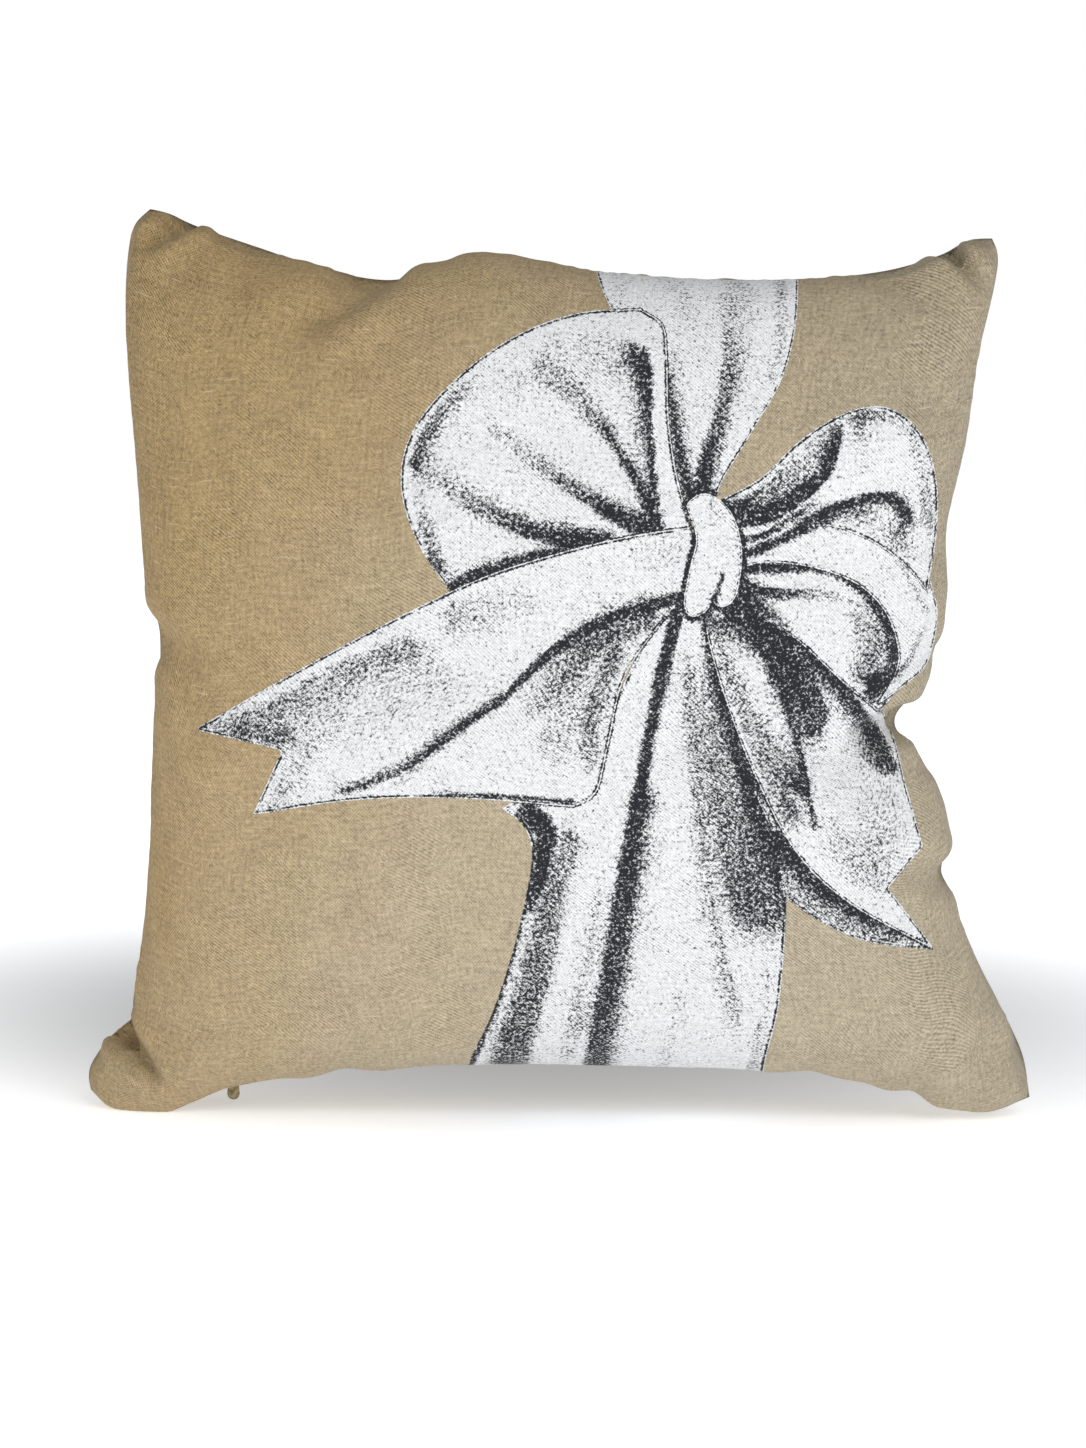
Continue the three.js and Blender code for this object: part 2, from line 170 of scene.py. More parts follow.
def smooth_object(name, mesh, material=None):
    mesh.polygons.foreach_set("use_smooth", [True] * len(mesh.polygons))
    if material is not None:
        mesh.materials.append(material)
    return put(name, mesh)


def new_object(name, points, faces, material=None):
    """A smooth mesh object from points in millimetres."""
    mesh = bpy.data.meshes.new(name)
    mesh.from_pydata((np.asarray(points, float) * MM).tolist(), [], [tuple(face) for face in faces])
    mesh.update()
    return smooth_object(name, mesh, material)


def as_piece(made, slot, *replaced, body="pillow"):
    """A finished piece, with what it rides on and the CAD nodes it stands for; its slot is not used."""
    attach(made, body)
    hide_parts(*replaced)
    return made


# ---- outline of the seam, seen from the front ----

CORNERS = (((-223, 7), (231, 9)), ((-196, 430), (204, 421)))  # low and top, each left then right

# fmt: off
bottom_edge = spline([
    (-223, 7), (-212, -3), (-190, -6), (-170, 2), (-154, 9.5), (-111, 17), (-48, 23), (19, 24),
    (95, 22), (139, 18.5), (160, 13), (175, 8), (192, 3), (212, 1.5), (231, 9),
])
top_edge = spline([
    (-196, 430), (-187, 428), (-176, 423), (-146, 413), (-110, 402), (-80, 398), (-60, 405), (-46, 411),
    (-29, 411), (-5, 407), (18, 403), (70, 400), (117, 401), (153, 405), (180, 413), (193, 420),
    (204, 421),
])
left_edge = spline([
    (7, -223), (16, -224), (26, -219), (35, -211.5), (41, -204), (49, -203), (110, -195), (180, -192.5),
    (227, -190.5), (250, -196), (290, -199.5), (370, -207), (392, -207.5), (412, -206), (423, -203),
    (430, -196),
])
right_edge = spline([
    (9, 231), (30, 227), (55, 215), (78, 203), (112, 189), (119, 186), (135, 189), (160, 183),
    (176, 172), (187, 163), (194, 163), (208, 174), (227, 181), (252, 185), (284, 184), (325, 193),
    (367, 199), (398, 205.5), (413, 207), (421, 204),
])
# fmt: on


def outline_point(u, v):
    """A point of the outlined area. u runs left to right and v bottom to top, each from 0 to 1."""
    bottom_x, top_x = (between(left[0], right[0], u) for left, right in CORNERS)
    left_z, right_z = (between(low[1], top[1], v) for low, top in zip(*CORNERS))
    bottom = (bottom_x, bottom_edge(bottom_x))
    top = (top_x, top_edge(top_x))
    left = (left_edge(left_z), left_z)
    right = (right_edge(right_z), right_z)
    found = []
    for axis in (0, 1):
        low, high = (between(a[axis], b[axis], u) for a, b in CORNERS)
        across = between(bottom[axis], top[axis], v)
        up = between(left[axis], right[axis], u)
        found.append(across + up - low * (1 - v) - high * v)
    return found


# ---- the swollen panels ----


def panel_grid():
    """The front panel's points before it is blown up: rows run up, columns run across."""
    t = np.linspace(-1, 1, CELLS + 1)
    across, up = np.meshgrid(t, t)
    u = between(np.sin(across * math.pi / 2), across, np.abs(up) ** 3)
    v = between(np.sin(up * math.pi / 2), up, np.abs(across) ** 3)
    x, z = outline_point((1 + u) / 2, (1 + v) / 2)
    room = np.clip((1 - u * u) * (1 - v * v), 0, None) ** 0.5
    swell = LOFT * room**FULLNESS
    at_bottom = 1 - smoothstep((1 + v) / 2, 0.03, 0.08)
    swell = np.maximum(swell, LIP_Y * at_bottom * (1 - smoothstep(np.abs(x), LIP_END, LIP_END + 8)))
    raised = at_bottom * (1 - smoothstep(np.abs(x), ZIP_END, SEAM_START))
    z = z + (ZIP_Z - z) * raised * (1 - smoothstep(swell, LIP_Y, GROOVE_Y))
    return np.stack([x, -swell, z], axis=-1)


def grid_faces(rows, columns, first=0, flipped=False):
    index = first + np.arange(rows * columns).reshape(rows, columns)
    a, b = index[:-1, :-1].ravel(), index[:-1, 1:].ravel()
    c, d = index[1:, 1:].ravel(), index[1:, :-1].ravel()
    order = (a, d, c, b) if flipped else (a, b, c, d)
    return np.stack(order, axis=1)


def border_loop(rows, columns):
    """Indices of a grid's border, once round."""
    index = np.arange(rows * columns).reshape(rows, columns)
    return np.concatenate([index[0, :-1], index[:-1, -1], index[-1, :0:-1], index[:0:-1, 0]])


def shell_faces(rows, columns):
    """Faces of two grids of points, one after the other, joined round their borders."""
    count = rows * columns
    loop = border_loop(rows, columns)
    after = np.roll(loop, -1)
    rim = np.stack([loop, loop + count, after + count, after], axis=1)
    return np.vstack([grid_faces(rows, columns), grid_faces(rows, columns, count, flipped=True), rim])


CLOTH_SETTINGS = dict(
    quality=6,
    mass=0.2,
    air_damping=2.0,
    tension_stiffness=25,
    compression_stiffness=25,
    shear_stiffness=8,
    bending_stiffness=0.6,
    shrink_min=-0.045,
    vertex_group_mass="seam",
    use_pressure=True,
    uniform_pressure_force=3.0,
)


def simulate(front, back):
    """Blows up the sewn panels as cloth, held at the seam, and returns their new points."""
    rows, columns = front.shape[:2]
    count = rows * columns
    points = np.vstack([front.reshape(-1, 3), back.reshape(-1, 3)])
    body = new_object("simulated_cover", points, shell_faces(rows, columns))
    loop = border_loop(rows, columns)
    body.vertex_groups.new(name="seam").add(np.concatenate([loop, loop + count]).tolist(), 1.0, "REPLACE")
    cloth = body.modifiers.new("cloth", "CLOTH")
    for key, value in CLOTH_SETTINGS.items():
        setattr(cloth.settings, key, value)
    cloth.settings.effector_weights.gravity = 0
    cloth.collision_settings.use_collision = False
    cloth.point_cache.frame_start = 1
    cloth.point_cache.frame_end = CLOTH_FRAMES + 1
    scene = bpy.context.scene
    for number in range(1, CLOTH_FRAMES + 1):
        scene.frame_set(number)
    result = body.evaluated_get(bpy.context.evaluated_depsgraph_get())
    moved = mesh_points(result.data)
    bpy.data.objects.remove(body)
    scene.frame_set(1)
    change = moved - points
    size = np.linalg.norm(change, axis=1, keepdims=True)
    change *= np.minimum(1, MOST_SWELL / np.maximum(size, 1e-9))
    moved = points + change
    return moved[:count].reshape(front.shape), moved[count:].reshape(front.shape)


def mesh_points(mesh):
    """A mesh's points, in millimetres."""
    points = np.empty(len(mesh.vertices) * 3)
    mesh.vertices.foreach_get("co", points)
    return points.reshape(-1, 3) / MM


def refine(grid, split):
    """A grid with split times as many cells, smooth through the points of the coarse one."""

    def along(values):
        padded = np.concatenate([2 * values[:1] - values[1:2], values, 2 * values[-1:] - values[-2:-1]])
        beside = (padded[:-3], padded[1:-2], padded[2:-1], padded[3:])
        fine = np.stack([through(*beside, k / split) for k in range(split)], axis=1)
        return np.concatenate([fine.reshape(-1, *values.shape[1:]), values[-1:]])

    return np.swapaxes(along(np.swapaxes(along(grid), 0, 1)), 0, 1)


def make_camera():
    rise, roll = math.radians(CAMERA_RISE_DEG), math.radians(CAMERA_ROLL_DEG)
    data = bpy.data.cameras.new("camera")
    data.sensor_width = 36.0
    data.lens = data.sensor_width * CAMERA_DISTANCE / (PICTURE_DOTS_HIGH * PICTURE_MM)
    data.clip_end = 100
    camera = put("camera", data)
    back = Vector((0, -math.cos(rise), math.sin(rise)))
    turn = (-back).to_track_quat("-Z", "Y").to_matrix().to_4x4() @ Matrix.Rotation(roll, 4, "Z")
    camera.matrix_world = Matrix.Translation((Vector(AIM) + back * CAMERA_DISTANCE) * MM) @ turn
    bpy.context.scene.camera = camera


make_camera()

front_grid = panel_grid()
back_grid = front_grid * np.array([1, -1, 1])
front_grid, back_grid = simulate(front_grid, back_grid)


# ---- creases, lumps and puckers, moved into the cloth after it is blown up ----

# Each fold is a line in the drawing plane, its depth and its width. A fold of negative depth is a ridge.
FRONT_FOLDS = (
    ([(-177, 424), (-187, 419), (-204, 408)], 4, 4.5),
    ([(-171, 418), (-182, 410), (-203, 399)], -1.6, 6),
    ([(-84, 402), (-100, 390), (-120, 376), (-127, 352)], 5.5, 9),
    ([(-70, 398), (-84, 384), (-92, 366)], -1.8, 12),
    ([(-146, 415), (-150, 398), (-160, 384)], 2, 9),
    ([(170, 420), (186, 411), (204, 392)], 6.5, 4),
    ([(150, 402), (168, 396), (184, 380)], 2, 9),
    ([(164, 193), (150, 189), (132, 180)], 6, 7),
    ([(176, 226), (164, 222), (150, 212)], 2.6, 6),
    ([(186, 119), (172, 122), (156, 132)], 3.4, 7),
    ([(-190, 227), (-176, 222), (-160, 212)], 4, 9),
    ([(-206, 36), (-199, 29), (-189, 17), (-187, 8)], 9, 4.5),
    ([(-205, 46), (-188, 36), (-170, 30)], 2, 9),
    ([(226, 30), (206, 34), (184, 28)], 2.4, 8),
    ([(172, 12), (176, 28), (188, 40)], 2.6, 7),
    ([(-100, 20), (-96, 34), (-84, 50)], 1.8, 9),
    ([(122, 18), (126, 34), (120, 50)], 1.6, 9),
)
BACK_FOLDS = (
    ([(-180, 420), (-196, 406)], 4, 5),
    ([(176, 416), (196, 400)], 4, 5),
    ([(-84, 402), (-92, 380), (-84, 356)], 4, 10),
    ([(60, 402), (50, 382), (56, 360)], 3, 10),
    ([(164, 193), (146, 196), (124, 206)], 6, 7),
    ([(-190, 227), (-170, 232), (-150, 230)], 4, 9),
    ([(-204, 34), (-186, 22)], 5, 6),
    ([(210, 34), (186, 24)], 4, 7),
    ([(-60, 20), (-50, 40), (-60, 62)], 2, 10),
)


def smooth_noise(x, z, cell, seed):
    """Gentle lumps about -1 to 1 high on a lattice of the given spacing."""
    lattice = np.random.default_rng(seed).uniform(-1, 1, (64, 64))
    gx, gz = x / cell + 32, z / cell + 8
    ix, iz = np.clip(gx.astype(int), 0, 62), np.clip(gz.astype(int), 0, 62)
    tx, tz = smoothstep(gx - ix, 0, 1), smoothstep(gz - iz, 0, 1)
    low = between(lattice[iz, ix], lattice[iz, ix + 1], tx)
    high = between(lattice[iz + 1, ix], lattice[iz + 1, ix + 1], tx)
    return between(low, high, tz)


def grid_lengths(grid):
    """Each point's way along the cloth from the middle column, the middle row and the nearest seam."""
    step_across = np.linalg.norm(np.diff(grid, axis=1), axis=2)
    step_up = np.linalg.norm(np.diff(grid, axis=0), axis=2)
    across = np.concatenate([np.zeros((grid.shape[0], 1)), np.cumsum(step_across, axis=1)], axis=1)
    up = np.concatenate([np.zeros((1, grid.shape[1])), np.cumsum(step_up, axis=0)], axis=0)
    to_seam = np.minimum.reduce([across, across[:, -1:] - across, up, up[-1:] - up])
    row, column = grid.shape[0] // 2, grid.shape[1] // 2
    return across - across[:, column : column + 1], up - up[row : row + 1], to_seam


def grid_normals(grid):
    normal = np.cross(np.gradient(grid, axis=1), np.gradient(grid, axis=0))
    return normal / np.maximum(np.linalg.norm(normal, axis=2, keepdims=True), 1e-9)


def shape_cloth(grid, folds, side, seed):
    """Adds folds, lumps and seam puckers to a fine panel, above the floor. The front's side is -1."""
    x, z = grid[..., 0], grid[..., 2]
    across, up, to_seam = grid_lengths(grid)
    depth = np.zeros(x.size)
    for points, deep, wide in folds:
        distance, _, along = nearest_on_line(x.ravel(), z.ravel(), curve_points(points))
        hollow = np.exp(-((distance / wide) ** 2))
        ridge = np.exp(-(((distance - 1.9 * wide) / wide) ** 2))
        depth += deep * smoothstep(1 - along, 0, 0.5) * (hollow - 0.35 * ridge)
    depth = depth.reshape(x.shape)
    lumps = 1.5 * smooth_noise(x, z, 46.0, seed) + 0.7 * smooth_noise(x, z, 19.0, seed + 1)
    depth += lumps * smoothstep(to_seam, 4, 40)
    run = np.where(np.abs(across) / HALF_WIDTH > np.abs(up) / MIDDLE_Z, up, across)
    wobble = 3.0 * smooth_noise(x, z, 30.0, seed + 2)
    gathers = np.cos(2 * math.pi * (run + 4 * wobble) / 11.0)
    depth += 0.55 * gathers * np.exp(-to_seam / 7.0) * smoothstep(to_seam, 0.5, 4)
    fade = smoothstep(to_seam, 0, 5)[..., None]
    outward = grid_normals(grid) * (-1 if side > 0 else 1)
    shaped = grid - outward * depth[..., None] * fade
    shaped[..., 1] = np.minimum(shaped[..., 1], 0) if side < 0 else np.maximum(shaped[..., 1], 0)
    shaped[..., 2] = np.maximum(shaped[..., 2], FLOOR_GAP)
    return shaped


def inward_border(grid):
    """A panel's border points, and the way from each one towards the middle."""
    edge = grid.reshape(-1, 3)[border_loop(*grid.shape[:2])]
    inward = np.stack([-edge[:, 0], np.zeros(len(edge)), MIDDLE_Z - edge[:, 2]], axis=1)
    return edge, inward / np.linalg.norm(inward, axis=1, keepdims=True)


def turned_in(grid, side):
    """Border points of the hem, which is folded into the pillow behind the seam."""
    edge, inward = inward_border(grid)
    over_zip = 1 - smoothstep(np.abs(edge[:, 0]), ZIP_END, SEAM_START)
    over_zip = np.where(edge[:, 2] < BOTTOM_Z, over_zip, 0)[:, None]
    hem = edge + between(inward, np.array([0, 0, 1.0]), over_zip) * HEM
    hem[:, 1] = side * (0.5 + (LIP_Y + 1.0) * over_zip[:, 0])
    return hem


def add_attribute(made, key, values):
    found = made.data.attributes.new(key, "FLOAT", "POINT")
    found.data.foreach_set("value", np.ascontiguousarray(values, np.float32))


def panel_object(name, grid, side, material):
    """A cover panel with its hem turned in."""
    rows, columns = grid.shape[:2]
    loop = border_loop(rows, columns)
    ring = rows * columns + np.arange(len(loop))
    sides = np.stack([loop, ring, np.roll(ring, -1), np.roll(loop, -1)], axis=1)
    if side > 0:
        sides = sides[:, ::-1]
    faces = np.vstack([grid_faces(rows, columns, flipped=side > 0), sides])
    made = new_object(name, np.vstack([grid.reshape(-1, 3), turned_in(grid, side)]), faces, material)
    for key, values in zip(("across", "up", "to_seam"), grid_lengths(grid)):
        add_attribute(made, key, np.concatenate([values.ravel(), values.ravel()[loop]]))
    return made


# ---- the printed bow ----

# A drawing of a ribbon bow, in millimetres in the plane of the picture. Each piece lies over the ones before.
# tone: how dark the piece is. line: half the width of its drawn outline. cast: how far its shadow falls.
# edges: smooth runs that join at corners. strokes: a line, then half its width at its two ends, its softness
# to the left and right, and its strength at its two ends.
# fmt: off
BOW = {}
BOW["band_up"] = dict(tone=0.12, line=0.25, cast=0.3, edges=[
    [(13, 450), (15, 415), (21, 392), (36, 366), (50, 330), (60, 284)],
    [(60, 284), (74, 284)],
    [(74, 284), (76, 300), (90, 324), (106, 352), (113, 380), (114, 412), (114, 450)],
    [(114, 450), (13, 450)],
], strokes=[
    ([(66, 288), (69, 312), (77, 340), (81, 366), (78, 392)], 2.4, 2.5, 1.5, 5, 1.2, 0.16),
    ([(80, 352), (85, 380), (84, 404), (76, 440)], 4.5, 4.5, 3, 5, 0.24, 0.3),
    ([(63, 290), (56, 322), (51, 356)], 2, 0.5, 2, 1.5, 1.2, 0.7),
    ([(61, 288), (55, 330), (53, 362)], 3, 3, 2, 4, 0.62, 0.3),
    ([(101, 352), (106, 378), (104, 412), (102, 440)], 1, 2, 2, 2, 0.3, 0.5),
    ([(62, 378), (56, 396), (48, 406), (44, 440)], 1, 4, 3, 4, 0.16, 0.4),
    ([(30, 374), (27, 396), (28, 440)], 1.5, 3, 3, 4, 0.12, 0.22),
])
BOW["band_down"] = dict(tone=0.07, line=0.5, cast=0.3, edges=[
    [(52, 254), (30, 206), (9, 168), (-29, 146)],
    [(-29, 146), (-19, 139), (-14, 127), (-16, 108), (-23, 78), (-33, 48), (-46, 20), (-58, -16)],
    [(-58, -16), (92, -16)],
    [(92, -16), (98, 24), (104, 48), (107, 76), (108, 108), (104, 150), (96, 200), (80, 252)],
    [(80, 252), (52, 254)],
], strokes=[
    ([(57, 246), (49, 214), (42, 180), (36, 146)], 2.6, 2.2, 2, 1.2, 1.3, 1.1),
    ([(37, 150), (31, 112), (25, 74), (18, 34), (10, -10)], 2.4, 4.6, 7, 3, 1, 0.84),
    ([(40, 168), (48, 140), (46, 116)], 0.6, 1.6, 1.5, 3, 0.05, 0.18),
    ([(22, 104), (16, 76), (10, 44)], 1, 4, 4, 5, 0.16, 0.32),
    ([(-15, 126), (-17, 108), (-23, 80), (-33, 48), (-48, 12)], 1.4, 0.9, 1, 0.8, 1.3, 1.2),
    ([(-15, 143), (-8, 136), (-9, 120), (-14, 98)], 6.5, 1, 1.5, 2, 1.2, 0.9),
    ([(5, 130), (-3, 104), (-12, 66), (-23, 28), (-31, -10)], 3, 9, 4, 6, 0.6, 0.86),
    ([(18, 112), (13, 80), (4, 30)], 0.8, 3, 2, 3, 0.1, 0.3),
    ([(70, 240), (76, 206), (88, 164), (102, 124), (112, 108)], 2, 5, 12, 2, 1, 0.95),
    ([(72, 208), (79, 166), (88, 130), (97, 104)], 4, 15, 9, 10, 0.5, 0.8),
    ([(62, 214), (66, 168), (70, 120), (76, 88), (86, 50)], 0.4, 0.8, 0.8, 6, 0.4, 0.46),
    ([(76, 66), (82, 50), (84, 36)], 0.8, 3, 2, 3, 0.28, 0.16),
    ([(57, 58), (54, 38), (46, 12)], 0.6, 2, 1.5, 3, 0.2, 0.3),
    ([(101, 84), (98, 52), (90, 16)], 0.8, 2.4, 2, 1.5, 0.14, 0.44),
])
BOW["tail_under"] = dict(tone=0.55, line=0.3, cast=0.3, edges=[
    [(92, 156), (103, 130), (107, 104)],
    [(107, 104), (124, 92), (148, 82), (180, 78)],
    [(180, 78), (150, 104), (124, 132), (92, 156)],
], strokes=[
    ([(104, 132), (120, 114), (142, 98), (160, 90)], 3.5, 1, 2, 5, 1.1, 0.8),
])
BOW["tail_right"] = dict(tone=0.07, line=0.25, cast=1.6, edges=[
    [(68, 252), (71, 226), (82, 190), (95, 158), (113, 125), (138, 101), (180, 78)],
    [(180, 78), (157, 108)],
    [(157, 108), (174, 128)],
    [(174, 128), (166, 156), (157, 188), (134, 226), (90, 254)],
    [(90, 254), (68, 252)],
], strokes=[
    ([(72, 234), (84, 200), (97, 168), (110, 140)], 1, 4, 6, 2, 0.55, 0.5),
    ([(72, 238), (80, 234), (90, 229)], 2.4, 2.4, 3, 4, 0.6, 0.72),
    ([(86, 244), (98, 222), (108, 198), (114, 176), (118, 158), (122, 138)], 1.4, 0.3, 1, 2, 1.2, 0.9),
    ([(88, 242), (104, 224), (116, 208), (123, 190)], 3.5, 6.5, 1.5, 8, 1.25, 0.85),
    ([(110, 204), (118, 190), (122, 172)], 3, 2, 4, 9, 0.72, 0.22),
    ([(92, 244), (114, 228), (132, 210), (148, 188), (157, 174)], 1.8, 1.6, 1, 8, 1.25, 0.92),
    ([(104, 176), (110, 166), (113, 156)], 2.2, 2.6, 5, 1.2, 0.3, 1),
    ([(96, 188), (104, 166), (110, 146)], 1.5, 2, 4, 4, 0.3, 0.4),
    ([(140, 170), (150, 148), (154, 130)], 6, 5, 10, 9, 0.12, 0.4),
    ([(152, 112), (140, 122), (130, 138)], 2, 1, 6, 6, 0.45, 0.1),
    ([(150, 182), (150, 172), (157, 166)], 2, 2.6, 3, 3, 0.5, 0.85),
    ([(126, 150), (130, 132), (138, 116)], 1, 4, 6, 6, 0.1, 0.2),
])
BOW["loop_low"] = dict(tone=0.05, line=0.25, cast=1, edges=[
    [(80, 264), (112, 266), (140, 264), (156, 250), (166, 226), (164, 208), (153, 192)],
    [(153, 192), (134, 208), (112, 228), (80, 248)],
    [(80, 248), (80, 264)],
], strokes=[
    ([(82, 262), (104, 262), (126, 262), (144, 252), (156, 236), (161, 218)], 2, 1.6, 1, 2, 1.2, 1),
    ([(150, 246), (158, 230), (159, 214), (150, 206)], 1, 4, 8, 1, 0.8, 1.1),
    ([(144, 240), (150, 226), (148, 212)], 3, 5, 4, 6, 0.45, 0.7),
    ([(82, 256), (100, 250), (118, 250), (134, 248)], 2.6, 0.6, 1.5, 3, 1.3, 0.4),
    ([(84, 248), (98, 240), (110, 232)], 3.4, 1, 3, 5, 1.2, 0.5),
])
BOW["loop_mid"] = dict(tone=0.05, line=0.2, cast=0.7, edges=[
    [(78, 262), (98, 278), (120, 292), (146, 292), (166, 276), (178, 254)],
    [(178, 254), (181, 238), (176, 216), (166, 206), (152, 196)],
    [(152, 196), (160, 210), (162, 222), (156, 240), (142, 254), (120, 262), (96, 264), (78, 258)],
    [(78, 258), (78, 262)],
], strokes=[
    ([(80, 266), (98, 272), (116, 280), (128, 284)], 2.2, 1.6, 3, 1.5, 1.3, 0.85),
    ([(128, 283), (146, 280), (160, 268), (170, 252), (176, 240)], 0.5, 0.5, 1.5, 2, 0.55, 0.35),
    ([(82, 258), (100, 262), (118, 262)], 1, 0.4, 1, 2, 0.9, 0.3),
    ([(174, 232), (168, 218), (160, 208)], 0.3, 0.5, 1, 2, 0.5, 0.6),
])
BOW["loop_high"] = dict(tone=0.06, line=0.4, cast=0.5, edges=[
    [(76, 294), (96, 305), (115, 323), (136, 336), (155, 339), (170, 330), (179, 311), (181, 284),
     (176, 250)],
    [(176, 250), (164, 264), (146, 276), (124, 282), (100, 274), (76, 262)],
    [(76, 262), (76, 294)],
], strokes=[
    ([(84, 284), (100, 286), (116, 296), (128, 308), (134, 326)], 3.4, 1.6, 6, 1, 1.3, 0.92),
    ([(84, 290), (98, 298), (112, 310), (124, 322)], 2, 3, 3, 4, 0.85, 0.3),
    ([(82, 274), (98, 278), (112, 287), (122, 294)], 0.8, 0.8, 0.8, 2, 1.2, 0.5),
    ([(84, 268), (104, 275), (124, 288), (146, 296), (160, 296), (167, 288)], 0.8, 1.2, 0.8, 5, 1.1, 0.95),
    ([(116, 284), (132, 288), (150, 284), (164, 272)], 2, 3, 4, 4, 0.5, 0.4),
    ([(162, 292), (165, 284), (160, 276)], 1.6, 0.8, 4, 1.5, 0.95, 0.5),
    ([(146, 334), (143, 320), (146, 308)], 1.6, 3, 5, 4, 0.5, 0.08),
    ([(168, 326), (174, 306), (175, 284)], 1, 2, 6, 2, 0.25, 0.55),
    ([(140, 334), (156, 335), (168, 328)], 1.2, 1, 2, 3, 0.5, 0.35),
])
BOW["loop_left"] = dict(tone=0.07, line=0.4, cast=0.8, edges=[
    [(38, 386), (8, 384), (-22, 373), (-50, 353), (-71, 328), (-77, 302), (-69, 274), (-52, 248)],
    [(-52, 248), (-30, 254), (0, 264), (30, 270), (66, 274)],
    [(66, 274), (57, 300), (52, 330), (51, 362)],
    [(51, 362), (49, 378), (38, 386)],
], strokes=[
    ([(48, 276), (45, 300), (43, 330), (43, 352), (40, 367)], 1.3, 0.8, 2, 0.8, 1, 1),
    ([(44, 290), (42, 318), (42, 344), (38, 362)], 0.6, 1.9, 8, 1, 0.3, 0.95),
    ([(48, 278), (37, 302), (22, 326)], 1.6, 1.2, 1.5, 2, 1.3, 0.8),
    ([(22, 326), (6, 344), (-8, 356)], 1.4, 5, 2.5, 5, 0.75, 0.3),
    ([(46, 276), (42, 280), (38, 288)], 2.4, 0.8, 2, 2, 1.2, 0.8),
    ([(40, 278), (16, 292), (-8, 308), (-34, 328)], 3, 2, 1, 5, 1.2, 0.22),
    ([(20, 272), (-12, 278), (-38, 289), (-62, 304)], 2.2, 2.6, 2, 6, 1.2, 0.45),
    ([(-16, 266), (-8, 268), (4, 271)], 2.6, 0.6, 1.5, 2, 1.3, 1.1),
    ([(-50, 252), (-38, 258), (-22, 264)], 3, 1, 4, 2, 1, 1.1),
    ([(-60, 262), (-66, 280), (-70, 300)], 3, 0.8, 1, 4, 0.8, 0.3),
    ([(-70, 312), (-62, 332), (-46, 350)], 2, 1, 2, 6, 0.85, 0.45),
    ([(-22, 354), (0, 362), (22, 364)], 6, 6, 7, 10, 0.22, 0.28),
])
BOW["tail_left"] = dict(tone=0.06, line=0.4, cast=1, edges=[
    [(68, 282), (34, 277), (0, 269), (-40, 256), (-90, 232), (-136, 207), (-176, 184)],
    [(-176, 184), (-134, 174)],
    [(-134, 174), (-148, 143)],
    [(-148, 143), (-100, 150), (-50, 151), (6, 147)],
    [(6, 147), (17, 154), (23, 178), (32, 212), (60, 250)],
    [(60, 250), (68, 250), (68, 282)],
], strokes=[
    ([(62, 248), (46, 244), (22, 236), (0, 224), (-16, 210), (-30, 196)], 2.6, 0.8, 1, 2, 1.3, 1.1),
    ([(40, 238), (18, 228), (0, 212), (-10, 198)], 4, 3, 5, 8, 0.8, 0.4),
    ([(18, 226), (8, 200), (0, 178)], 6, 8, 7, 7, 0.46, 0.34),
    ([(24, 220), (14, 192), (12, 172)], 1.4, 2, 8, 1.5, 0.6, 0.5),
    ([(52, 240), (38, 214), (30, 186)], 0.4, 0.8, 2, 2, 0.7, 0.1),
    ([(-29, 197), (-40, 190), (-56, 178), (-78, 163), (-104, 153)], 0.9, 0.3, 0.8, 4, 1.05, 0.85),
    ([(-46, 184), (-62, 172), (-74, 160)], 1, 1, 1, 6, 0.42, 0.3),
    ([(-60, 153), (-20, 151), (6, 149)], 0.3, 0.8, 1.2, 0.8, 0.9, 1.2),
    ([(-140, 147), (-131, 160), (-126, 174)], 1, 2.5, 3, 8, 0.5, 0.3),
    ([(-160, 185), (-132, 198), (-100, 214), (-74, 224)], 1.6, 3, 4, 9, 0.45, 0.6),
    ([(-148, 180), (-120, 188), (-88, 196), (-60, 206)], 5, 9, 8, 10, 0.3, 0.24),
    ([(-50, 238), (-34, 242), (-20, 248)], 6, 4, 4, 6, 0.4, 0.26),
    ([(-166, 184), (-150, 181), (-134, 178)], 1, 2, 6, 1, 0.45, 0.6),
    ([(36, 268), (54, 270)], 2, 4, 5, 4, 0.1, 0.3),
])
BOW["knot"] = dict(tone=0.04, line=0.1, cast=3.4, edges=[
    [(60, 292), (66, 297), (74, 296), (83, 286), (87, 268), (84, 248), (79, 243)],
    [(79, 243), (76, 243), (73, 247)],
    [(73, 247), (70, 241), (63, 238), (59, 244), (62, 262), (65, 276), (60, 292)],
], strokes=[
    ([(73, 245), (76, 252), (78, 260)], 1.2, 0.2, 0.8, 0.8, 1.2, 0.9),
    ([(72, 294), (78, 284)], 0.4, 0.2, 0.8, 0.8, 0.6, 0.3),
    ([(82, 284), (85, 268), (83, 252)], 0.3, 0.6, 2.5, 1, 0.25, 0.35),
])
# fmt: on


def drawing_place(points):
    """Where each point falls on the drawing, looked at from the camera's side of the pillow."""
    view = np.array(bpy.context.scene.camera.matrix_world.inverted())
    p = np.hstack([points * MM, np.ones((len(points), 1))]) @ view.T
    x = p[:, 0] / -p[:, 2] * CAMERA_DISTANCE
    z = p[:, 1] / -p[:, 2] * CAMERA_DISTANCE
    return x - PRINT_ORIGIN[0], z + AIM[2] + PRINT_ORIGIN[1]


def stroke_tone(x, z, stroke):
    points, first_width, last_width, soft_left, soft_right, first_strength, last_strength = stroke
    distance, side, along = nearest_on_line(x, z, curve_points(points))
    width = STROKE_REACH * between(first_width, last_width, along)
    beyond = np.maximum(distance - width, 0) / np.where(side > 0, soft_left, soft_right)
    return between(first_strength, last_strength, along) * np.exp(-(beyond**2))


